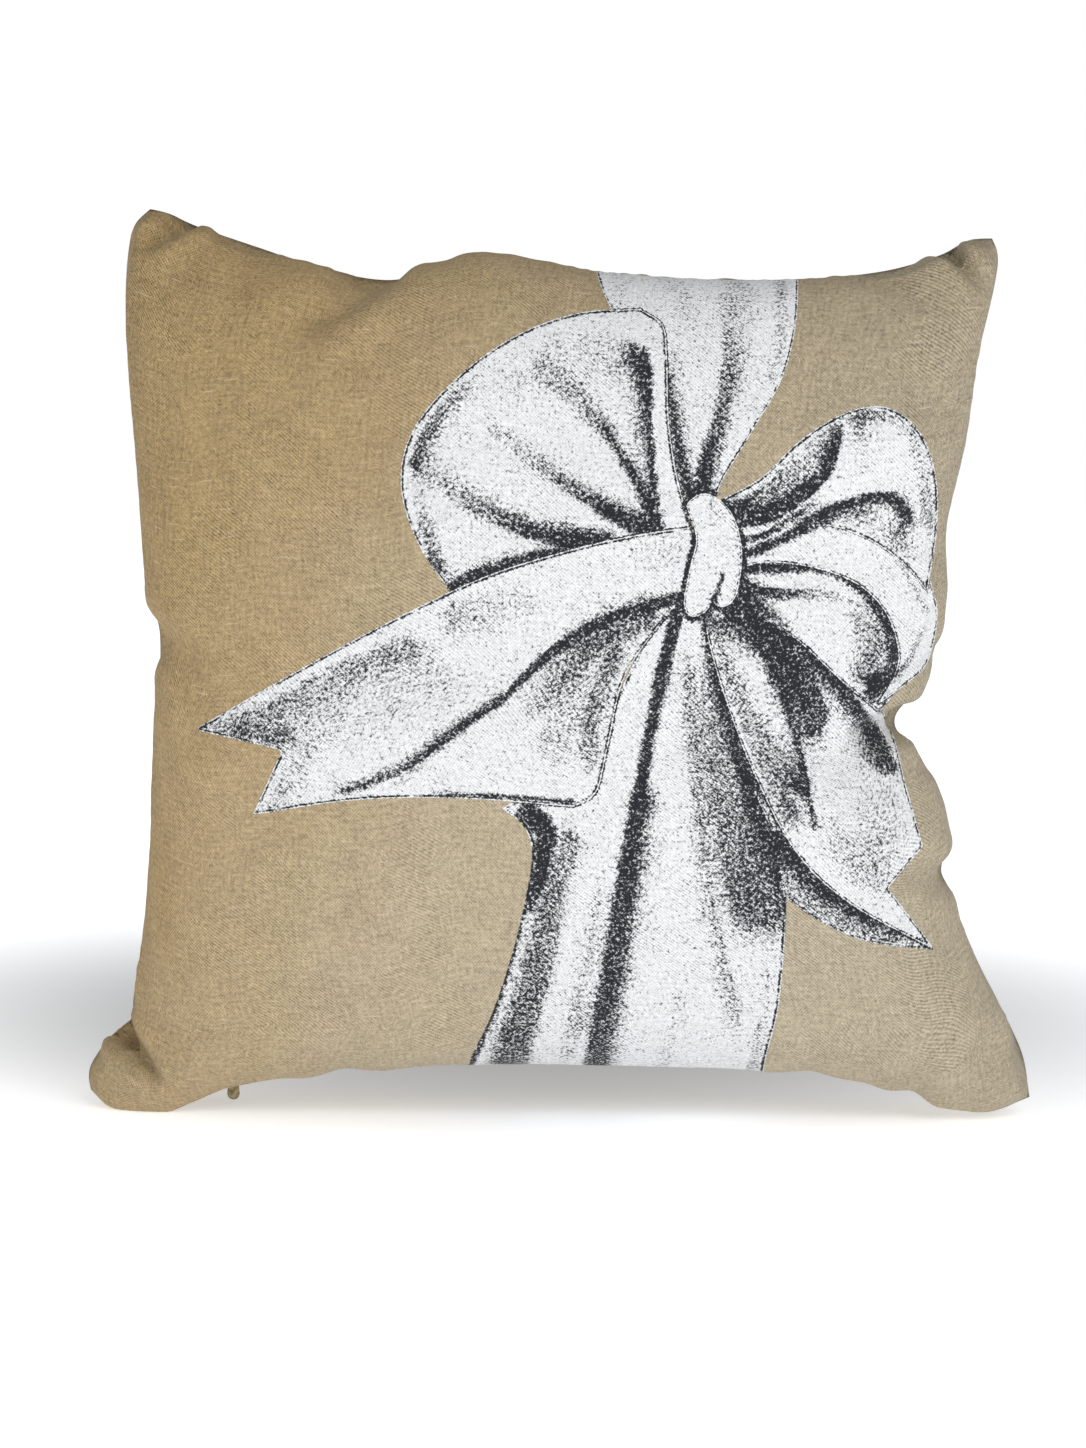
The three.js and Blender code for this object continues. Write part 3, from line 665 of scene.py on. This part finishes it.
def print_bow(panel):
    """Gives the panel each piece of the drawing: how far inside it a point is, and how dark it is there."""
    x, z = drawing_place(mesh_points(panel.data))
    outside = 8.0  # how far round a piece its depth is worked out
    room = np.empty(x.size)
    panel.data.attributes["to_seam"].data.foreach_get("value", room)
    by_right_seam = (x > 120) & (z > 60) & (z < 390)
    for name, piece in BOW.items():
        outline = np.vstack([curve_points(run)[:-1] for run in piece["edges"]])
        low, high = outline.min(axis=0) - outside, outline.max(axis=0) + outside
        near = (x > low[0]) & (x < high[0]) & (z > low[1]) & (z < high[1])
        px, pz = x[near], z[near]
        distance = nearest_on_line(px, pz, np.vstack([outline, outline[:1]]))[0]
        depth = np.full(x.size, -outside)
        depth[near] = np.where(inside_polygon(px, pz, outline), distance, -distance)
        depth = np.where(by_right_seam, np.minimum(depth, room - PRINT_MARGIN), depth)
        clear = np.full(px.size, 1 - piece["tone"])
        for stroke in piece["strokes"]:
            clear *= 1 - np.minimum(stroke_tone(px, pz, stroke), 1)
        tone = np.zeros(x.size)
        tone[near] = (1 - clear) ** 1.15
        add_attribute(panel, name + "_depth", depth)
        add_attribute(panel, name + "_tone", tone)


# ---- materials ----


class Value:
    """A number that varies over a surface: a shader socket, whose arithmetic adds nodes to its tree."""

    def __init__(self, socket):
        self.socket = socket

    def __add__(self, other):
        return maths("ADD", self, other)

    def __sub__(self, other):
        return maths("SUBTRACT", self, other)

    def __mul__(self, other):
        return maths("MULTIPLY", self, other)


def feed(made, inputs):
    """Sets a shader node's inputs, from varying values or plain ones."""
    for key, value in inputs.items():
        if isinstance(value, Value):
            made.id_data.links.new(value.socket, made.inputs[key])
        else:
            made.inputs[key].default_value = value


def node(tree, kind, inputs=(), output=0, **settings):
    """What comes out of a new shader node with the given inputs and settings."""
    made = tree.nodes.new(kind)
    for key, value in settings.items():
        setattr(made, key, value)
    feed(made, dict(inputs))
    return Value(made.outputs[output])


def tree_of(*values):
    return next(value.socket.id_data for value in values if isinstance(value, Value))


def maths(operation, a, b=0.0):
    return node(tree_of(a, b), "ShaderNodeMath", {0: a, 1: b}, operation=operation)


def sine(value):
    return maths("SINE", value)


def ramp(value, start, end, low=0.0, high=1.0):
    """A smooth step from low to high as the value goes from start to end."""
    inputs = {"Value": value, "From Min": start, "From Max": end, "To Min": low, "To Max": high}
    return node(tree_of(value), "ShaderNodeMapRange", inputs, interpolation_type="SMOOTHSTEP")


def mix_number(factor, a, b):
    return node(tree_of(factor), "ShaderNodeMix", {0: factor, 2: a, 3: b})


def mix_colour(factor, a, b, blend="MIX"):
    inputs = {0: factor, 6: a, 7: b}
    inputs = {key: (*value, 1) if isinstance(value, tuple) else value for key, value in inputs.items()}
    return node(tree_of(factor, a, b), "ShaderNodeMix", inputs, 2, data_type="RGBA", blend_type=blend)


def place(x, y, z=0.0):
    return node(tree_of(x, y), "ShaderNodeCombineXYZ", {0: x, 1: y, 2: z})


def noise(vector, scale, detail=2.0, rough=0.5):
    inputs = {"Vector": vector, "Scale": scale, "Detail": detail, "Roughness": rough}
    return node(tree_of(vector), "ShaderNodeTexNoise", inputs)


def bumped(height, strength, distance):
    inputs = {"Height": height, "Strength": strength, "Distance": distance}
    return node(tree_of(height), "ShaderNodeBump", inputs)


def brightened(colour, value):
    """A colour times a value."""
    grey = node(tree_of(value), "ShaderNodeCombineColor", {0: value, 1: value, 2: value})
    return mix_colour(1.0, colour, grey, "MULTIPLY")


def weave(across, up, pitch):
    """Threads going over and under: about -1 to 1, from positions on the cloth in millimetres."""
    turn = 2 * math.pi / pitch
    shift = noise(place(across, up), 0.11) * 5.0
    return sine((across + shift) * turn) * sine((up + shift) * turn)


def linen_height(across, up):
    """How the cloth's surface goes up and down: thread by thread, with a twill look in patches."""
    spot = place(across, up)
    level = noise(place(across * 0.08, up * 0.8), 1.0, 3.0, 0.65)
    upright = noise(place(across * 0.8, up * 0.08), 1.0, 3.0, 0.65)
    streaks = level + upright - 1.0
    knit = weave(across, up, 1.5)
    grit = noise(spot, 0.5, 3.0, 0.7) - 0.5
    patches = ramp(noise(spot, 0.02), 0.42, 0.6)
    twill = sine((up * 1.25 + across) * 2.9) * patches
    return streaks * 1.5 + knit * 0.5 + twill * 0.4 + grit * 2.8


def linen_colour_and_painted_light(across, up, height):
    """Undyed flax with slubs and darker flecks, and painted light: greyer and lighter to the right where the
    light falls, warmer and darker to the left and towards the top, and darker towards the side seams as
    painted shade.
    """
    spot = place(across, up)
    slow = noise(spot, 0.012) - 0.5
    middle = noise(spot, 0.05, 3.0) - 0.5
    # Painted light: a share from 0 at the left to 1 at the right, lower towards the top. It turns the cloth
    # greyer and lighter where light falls, and warmer and darker in painted shade.
    painted_light_share = maths("POWER", ramp(slow * 120.0 + across, -215.0, 225.0), 0.45)
    painted_light_share = ramp(painted_light_share - up * 0.0014, 0.0, 1.0)
    base = mix_colour(painted_light_share, (0.392, 0.280, 0.137), (0.400, 0.344, 0.250))
    # Painted shade: darker towards the top and towards the left and right seams. The height and middle terms
    # are the weave and a random tone.
    value = height * 0.50 + 1.06 + middle * 0.30 - up * 0.0005 - across * across * 0.0000026
    base = brightened(base, value)
    slub = noise(place(across * 0.07, up * 0.7), 1.0, 1.0)
    base = mix_colour(ramp(slub, 0.68, 0.76, 0.0, 0.4), base, (0.68, 0.56, 0.38))
    fleck = noise(place(across * 0.4, up * 0.6, 7.0), 1.0, 1.0)
    return mix_colour(ramp(fleck, 0.73, 0.78, 0.0, 0.6), base, (0.16, 0.10, 0.045))


def new_material(name, on_cloth=False):
    """A new material, its main node, and the place on the object, or the ways across and up the cloth."""
    material = bpy.data.materials.new(name)
    material.use_nodes = True
    tree = material.node_tree
    if on_cloth:
        spot = [attribute(tree, key) for key in ("across", "up")]
    else:
        spot = node(tree, "ShaderNodeTexCoord", output="Object")
    return material, tree.nodes["Principled BSDF"], spot


def attribute(tree, name):
    return node(tree, "ShaderNodeAttribute", output="Fac", attribute_name=name)


def cloth_finish(shader, colour, height, bump, sheen=0.12):
    finish = {"Roughness": 0.9, "Specular IOR Level": 0.2, "Sheen Weight": sheen, "Sheen Roughness": 0.5}
    feed(shader, {"Base Color": colour, "Normal": bumped(height, bump, 0.0004), **finish})


def linen():
    material, shader, (across, up) = new_material("natural_linen", on_cloth=True)
    height = linen_height(across, up)
    cloth_finish(shader, linen_colour_and_painted_light(across, up, height), height, 0.5)
    return material


def printed_linen():
    """Linen with the bow over it: an opaque white ink, and black ink dabbed on with a dry brush."""
    material, shader, (across, up) = new_material("printed_linen", on_cloth=True)
    tree = material.node_tree
    height = linen_height(across, up)
    spot = place(across, up)
    fray = noise(spot, 0.7) - 0.5
    grain = noise(spot, 0.62, 3.0, 0.7) - 0.5
    blots = noise(place(across, up, 3.0), 0.2) - 0.5
    breaks = ramp(noise(place(across, up, 5.0), 0.12), 0.36, 0.52, 0.45, 0.95)
    dark, white = 0.0, 0.0
    for name, piece in BOW.items():
        half_line, cast = piece["line"], piece["cast"]
        depth = fray * 0.7 + attribute(tree, name + "_depth")
        inside = ramp(depth, -0.3, 0.3)
        off_line = maths("ABSOLUTE", depth - (0.55 + half_line)) + fray
        line = ramp(off_line, half_line - 0.25, half_line + 0.5, 1.0, 0.0)
        tone = maths("MAXIMUM", attribute(tree, name + "_tone"), line * breaks)
        shadow = ramp(fray * 1.6 + depth, -cast, -0.5 * cast)
        dark = mix_number(inside, maths("MAXIMUM", dark, shadow), tone)
        white = maths("MAXIMUM", white, inside)
    black = ramp(dark + 0.10 + grain * 3.2 + blots * 0.7 - height * 0.22, 0.25, 1.0)
    paint = brightened((0.77, 0.78, 0.79), height * 0.24 + 0.98)
    ink = mix_colour(black, paint, (0.018, 0.020, 0.024))
    cloth = linen_colour_and_painted_light(across, up, height)
    cloth_finish(shader, mix_colour(white, cloth, ink), height, 0.35, 0.05)
    return material


def axes(vector):
    return [node(tree_of(vector), "ShaderNodeSeparateXYZ", {0: vector}, axis) for axis in range(3)]


def stretched(vector, along):
    """Positions squeezed along Z, so that a texture on them is drawn out that way."""
    return node(tree_of(vector), "ShaderNodeMapping", {"Vector": vector, "Scale": (1.0, 1.0, along)})


def plain_cloth(name, colour, threads_per_metre, contrast):
    """A small plain-woven cloth: threads along X and across them."""
    material, shader, spot = new_material(name)
    x, y, z = axes(spot)
    turn = math.pi * threads_per_metre
    height = sine(x * turn) * sine((z + y) * turn)
    value = height * contrast + 0.92 + noise(spot, 160.0, 3.0) * 0.16
    cloth_finish(shader, brightened(colour, value), height, 0.4)
    return material


def spun_thread(name, colour):
    """Twisted thread, with its plies showing as fine slanting stripes."""
    material, shader, spot = new_material(name)
    x, y, z = axes(spot)
    plies = sine((x + (y + z)) * 9000.0)
    value = plies * 0.14 + 0.9 + noise(spot, 300.0) * 0.2
    cloth_finish(shader, brightened(colour, value), plies, 0.3)
    return material


def fibre_fill():
    """Loose polyester fibre in curled tufts."""
    material, shader, spot = new_material("fibre_fill")
    tufts = noise(spot, 45.0, 4.0, 0.65)
    strands = noise(stretched(spot, 0.25), 900.0, 3.0, 0.7)
    height = tufts * 2.0 + strands
    cloth_finish(shader, brightened((0.90, 0.90, 0.88), height * 0.22 + 0.66), height, 0.8, 0.3)
    return material


def nylon():
    material, shader, spot = new_material("dyed_nylon")
    colour = brightened((0.30, 0.22, 0.12), noise(spot, 220.0, 3.0) * 0.3 + 0.85)
    feed(shader, {"Base Color": colour, "Roughness": ramp(noise(spot, 500.0), 0.3, 0.7, 0.38, 0.52)})
    return material


def aged_brass():
    """Plated zip metal, dulled in patches and rubbed bright in streaks."""
    material, shader, spot = new_material("aged_brass")
    tarnish = noise(spot, 330.0, 4.0, 0.6)
    scratches = noise(stretched(spot, 0.12), 2600.0, 3.0)
    colour = mix_colour(ramp(tarnish, 0.38, 0.62), (0.19, 0.155, 0.085), (0.38, 0.32, 0.19))
    rough = scratches * 0.25 + ramp(tarnish, 0.35, 0.7, 0.36, 0.18)
    normal = bumped(scratches, 0.15, 0.00005)
    feed(shader, {"Base Color": colour, "Metallic": 0.85, "Roughness": rough, "Normal": normal})
    return material


LINEN = linen()
PRINTED = printed_linen()
CASING = plain_cloth("cotton_casing", (0.80, 0.78, 0.72), 900, 0.05)
TAPE = plain_cloth("zip_tape_weave", (0.36, 0.27, 0.155), 1800, 0.10)
THREAD = spun_thread("flax_coloured_thread", (0.40, 0.30, 0.17))
WHITE_THREAD = spun_thread("white_thread", (0.78, 0.77, 0.74))
NYLON = nylon()
BRASS = aged_brass()
FIBRE = fibre_fill()


# ---- the small pieces ----


def tube(path, radius, sides=6, closed=False):
    """Points and faces of a round tube along a path, closed in a ring or capped at its ends."""
    path = np.asarray(path, float)
    count = len(path)
    ahead = np.roll(path, -1, axis=0) - np.roll(path, 1, axis=0) if closed else np.gradient(path, axis=0)
    ahead /= np.linalg.norm(ahead, axis=1, keepdims=True)
    lean = np.where(np.abs(ahead[:, :1]) < 0.8, [[1.0, 0, 0]], [[0, 1.0, 0]])
    out = np.cross(ahead, lean)
    out /= np.linalg.norm(out, axis=1, keepdims=True)
    over = np.cross(ahead, out)
    angle = np.arange(sides) * 2 * math.pi / sides
    width = np.broadcast_to(radius, (count,))[:, None, None]
    ring = out[:, None] * np.cos(angle)[None, :, None] + over[:, None] * np.sin(angle)[None, :, None]
    points = (path[:, None] + ring * width).reshape(-1, 3)
    start = np.arange(count * sides).reshape(count, sides)
    end = np.roll(start, -1, axis=0)
    walls = np.stack([start, np.roll(start, -1, axis=1), np.roll(end, -1, axis=1), end], axis=-1)
    if closed:
        return points, walls.reshape(-1, 4).tolist()
    faces = walls[:-1].reshape(-1, 4).tolist() + [start[0, ::-1].tolist(), start[-1].tolist()]
    return points, faces


def stitches(line, pitch, radius):
    """A row of stitches along a line: short bowed threads, with gaps where they dive into the cloth."""
    step = np.linalg.norm(np.diff(line, axis=0), axis=1)
    way = np.concatenate([[0], np.cumsum(step)])
    bow = np.array([0.25, 0.8, 1.0, 0.8, 0.25]) * radius
    points, faces = [], []
    for start in np.arange(0, way[-1] - pitch, pitch):
        at = start + np.linspace(0.06, 0.84, 5) * pitch
        path = np.stack([np.interp(at, way, line[:, axis]) for axis in range(3)], axis=1)
        some_points, some_faces = tube(path, bow, 5)
        first = len(points) * len(some_points)
        points.append(some_points)
        faces += [tuple(first + k for k in face) for face in some_faces]
    return np.vstack(points), faces


def sewn(name, line, pitch, radius, material, replaced):
    made = new_object(name, *stitches(line, pitch, radius), material)
    as_piece(made, "thread", replaced)


def drawn_in(grid, side, gap):
    """A panel's shape for what lies a gap inside it."""
    drawn = grid.copy()
    from_middle = grid[..., 2] - MIDDLE_Z
    corner = smoothstep(np.abs(grid[..., 0]), 150, 225) * smoothstep(np.abs(from_middle), 150, 215)
    scale = 1 - gap / HALF_WIDTH - 0.07 * corner
    depth = np.abs(grid[..., 1])
    drawn[..., 0] *= scale
    drawn[..., 1] = side * depth**2 / (depth + 1.2 * gap)
    over_zip = 1 - smoothstep(np.abs(grid[..., 0]), ZIP_END + 20, SEAM_START + 20)
    drawn[..., 2] = np.maximum(MIDDLE_Z + from_middle * scale, (ZIP_Z + 6.0) * over_zip)
    return drawn


def seam_line(grid, inset):
    """The border of a panel, moved in towards its middle, in the seam plane."""
    edge, inward = inward_border(grid)
    line = edge + inward * inset
    line[:, 1] = 0
    return line


def make_insert(front, back):
    """The stuffed inner pillow: its two casing panels, its seam and its filling."""
    rows, columns = front.shape[:2]
    for end, grid, side in (("front", front, -1), ("back", back, 1)):
        points = drawn_in(grid, side, CASING_GAP).reshape(-1, 3)
        faces = grid_faces(rows, columns, flipped=side > 0)
        made = new_object("insert_casing_" + end, points, faces, CASING)
        as_piece(made, "casing", "insert_" + end + "_panel")
    seam = seam_line(drawn_in(front, -1, CASING_GAP), 2.0)
    sewn("insert_stitches", np.vstack([seam, seam[:1]]), 5.0, 0.35, WHITE_THREAD, "insert_seam_thread")
    halves = [drawn_in(front, -1, STUFFING_GAP), drawn_in(back, 1, STUFFING_GAP)]
    for half, side in zip(halves, (-1, 1)):
        lumps = smooth_noise(half[..., 0], half[..., 2], 17.0, SEED + 9 + side)
        half[..., 1] += side * np.minimum(np.abs(half[..., 1]) * 0.05, 1.2) * (lumps - 1)
        half[..., 1] += side * 0.4
    points = np.vstack([half.reshape(-1, 3) for half in halves])
    stuffing = new_object("fibre_stuffing", points, shell_faces(rows, columns), FIBRE)
    as_piece(stuffing, "stuffing", "insert_stuffing")


def middle_of(name):
    """A CAD node's middle and size, in millimetres."""
    low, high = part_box(name)
    return np.array((low + high) / 2) / MM, np.array(high - low) / MM


def zip_coil(name, replaced):
    """Half of the zip: one long spiral of nylon wire."""
    centre, size = middle_of(replaced)
    wire = 0.26
    turns = int(size[0] / 1.3)
    t = np.linspace(0, turns, turns * 9 + 1)
    x = centre[0] - size[0] / 2 + wire + (size[0] - 2 * wire) * t / turns
    y = centre[1] + (size[1] / 2 - wire) * np.cos(2 * math.pi * t)
    z = centre[2] + (size[2] / 2 - wire) * np.sin(2 * math.pi * t)
    made = new_object(name, *tube(np.stack([x, y, z], axis=1), wire, 5), NYLON)
    as_piece(made, "zip_coil", replaced)


def zip_tape(name, replaced):
    """A woven tape with a thicker selvedge at both edges and a slight wave along it."""
    centre, size = middle_of(replaced)
    length = size[0] + 14.0  # longer than the CAD tape, to close the lips' ends
    along = np.linspace(-0.5, 0.5, 161)
    over = np.linspace(-0.5, 0.5, 9)
    x, y = np.meshgrid(centre[0] + along * length, centre[1] + over * size[1])
    thick = size[2] * (0.30 + 0.16 * np.abs(2 * over)[:, None] ** 6)
    wave = centre[2] + 0.04 * np.sin(x / 5.0)
    points = np.vstack([np.stack([x, y, wave + s * thick], axis=-1).reshape(-1, 3) for s in (1, -1)])
    made = new_object(name, points, shell_faces(*x.shape), TAPE)
    as_piece(made, "zip_tape", replaced)


def zip_stitches(name, replaced):
    centre, size = middle_of(replaced)
    ends = np.array([[-0.5, 0, 0], [0.5, 0, 0]]) * size + centre
    sewn(name, ends, 3.0, min(size[1], size[2]) / 2, THREAD, replaced)


def softened(name, replaced, rounding, body="pillow"):
    """A metal piece of the CAD model in a mesh of its own, with its edges rounded off."""
    mesh = bpy.data.meshes.new(name)
    work = bmesh.new()
    work.from_mesh(NODES[replaced].data)
    bmesh.ops.remove_doubles(work, verts=work.verts, dist=1e-6)
    bmesh.ops.dissolve_limit(work, angle_limit=math.radians(2), verts=work.verts, edges=work.edges)
    sharp = [edge for edge in work.edges if edge.is_manifold and edge.calc_face_angle() > math.radians(35)]
    edges = {"geom": sharp, "affect": "EDGES", "clamp_overlap": True}
    bmesh.ops.bevel(work, offset=rounding * MM, segments=3, profile=0.5, **edges)
    bmesh.ops.triangulate(work, faces=[face for face in work.faces if len(face.verts) > 4])
    work.to_mesh(mesh)
    work.free()
    made = smooth_object(name, mesh, BRASS)
    mesh.set_sharp_from_angle(angle=math.radians(40))
    as_piece(made, "zip_metal", replaced, body=body)


def pull_ring():
    """The small wire ring that joins the pull to the slider."""
    centre, size = middle_of("pull_ring")
    wire = size[0] / 2
    reach = size[2] / 2 - wire
    angle = np.arange(48) * 2 * math.pi / 48
    path = centre + reach * np.stack([np.zeros(48), np.cos(angle), np.sin(angle)], axis=1)
    made = new_object("wire_ring", *tube(path, wire, 12, closed=True), BRASS)
    as_piece(made, "zip_metal", "pull_ring", body="ring")


def make_zip():
    for end in ("front", "back"):
        zip_coil("coil_spiral_" + end, "zip_coil_" + end)
        zip_tape("woven_tape_" + end, "zip_tape_" + end)
        zip_stitches("tape_stitches_" + end, "zip_stitch_" + end)
        softened("top_stop_" + end, "zip_top_stop_" + end, 0.2)
    softened("bottom_stop", "zip_bottom_stop", 0.2)
    softened("slider", "slider_body", 0.22, body="slider")
    softened("pull", "pull_tab", 0.28, body="tab")
    pull_ring()


def make_cover_seam(front):
    """The line of stitches that closes the cover, just inside its edge and clear of the zip."""
    line = seam_line(front, 2.6)
    at_zip = (np.abs(line[:, 0]) < SEAM_START) & (line[:, 2] < BOTTOM_Z)
    start = int(np.argmax(at_zip & (line[:, 0] > SEAM_START - 6)))
    line = np.roll(line, -start, axis=0)
    clear = ~np.roll(at_zip, -start)
    sewn("cover_stitches", line[clear], 3.2, 0.3, THREAD, "cover_seam_thread")


def make_cover(front, back):
    cover_front = panel_object("cover_front", front, -1, PRINTED)
    cover_back = panel_object("cover_back", back, 1, LINEN)
    print_bow(cover_front)
    as_piece(cover_front, "linen", "cover_front_panel", "bow_print")
    as_piece(cover_back, "linen", "cover_back_panel")


fine_front = shape_cloth(refine(front_grid, FRONT_SPLIT), FRONT_FOLDS, -1, SEED)
fine_back = shape_cloth(refine(back_grid, BACK_SPLIT), BACK_FOLDS, 1, SEED + 5)
make_cover(fine_front, fine_back)
make_cover_seam(fine_front)
make_insert(fine_front[::FRONT_SPLIT, ::FRONT_SPLIT], fine_back[::BACK_SPLIT, ::BACK_SPLIT])
make_zip()


# ---- the floor and the light, in metres ----


def make_world():
    """A surround that looks plain white and lights the pillow softly."""
    bpy.context.scene.view_settings.view_transform = "Standard"
    world = bpy.data.worlds.new("studio")
    bpy.context.scene.world = world
    world.use_nodes = True
    seen = node(world.node_tree, "ShaderNodeLightPath", output="Is Camera Ray")
    feed(world.node_tree.nodes["Background"], {0: (1, 1, 1, 1), 1: mix_number(seen, 0.38, 1.0)})


def make_floor():
    """A white floor that takes the pillow's real shadow from the lamps and a painted shadow as well: it glows
    less near a point behind the pillow and shines out to plain white round it.
    """
    material, shader, _ = new_material("white_floor")
    spot = node(material.node_tree, "ShaderNodeNewGeometry", output="Position")
    # Painted shadow: the glow is weakest 0.30 m behind the middle of the pillow and grows to full white
    # further away.
    from_painted_shadow = {0: spot, 1: (0.0, 0.30, 0.0)}
    away = node(material.node_tree, "ShaderNodeVectorMath", from_painted_shadow, "Value", operation="DISTANCE")
    feed(shader, {
        "Base Color": (0.88, 0.90, 0.93, 1),
        "Roughness": 1.0,
        "Specular IOR Level": 0.0,
        "Emission Color": (1, 1, 1, 1),
        "Emission Strength": ramp(away, 0.12, 0.60, 0.10, 0.82),
    })  # fmt: skip
    far = 15.0 / MM
    corners = [(-far, -far, 0), (far, -far, 0), (far, far, 0), (-far, far, 0)]
    new_object("floor", corners, [(0, 1, 2, 3)], material)


def area_light(name, at, size, watts, colour):
    """A soft lamp turned to the middle of the pillow."""
    data = bpy.data.lights.new(name, "AREA")
    data.shape = "RECTANGLE"
    data.size, data.size_y = size
    data.energy = watts
    data.color = colour
    lamp = put(name, data)
    lamp.location = at
    lamp.rotation_mode = "QUATERNION"
    lamp.rotation_quaternion = (Vector((0, 0, 0.2)) - Vector(at)).to_track_quat("-Z", "Y")


make_world()
make_floor()
area_light("key", (0.8, -1.9, 1.45), (1.4, 1.4), 22, (1, 1, 1))
area_light("fill", (-1.6, -1.4, 0.5), (1.2, 0.8), 3, (1, 0.95, 0.86))
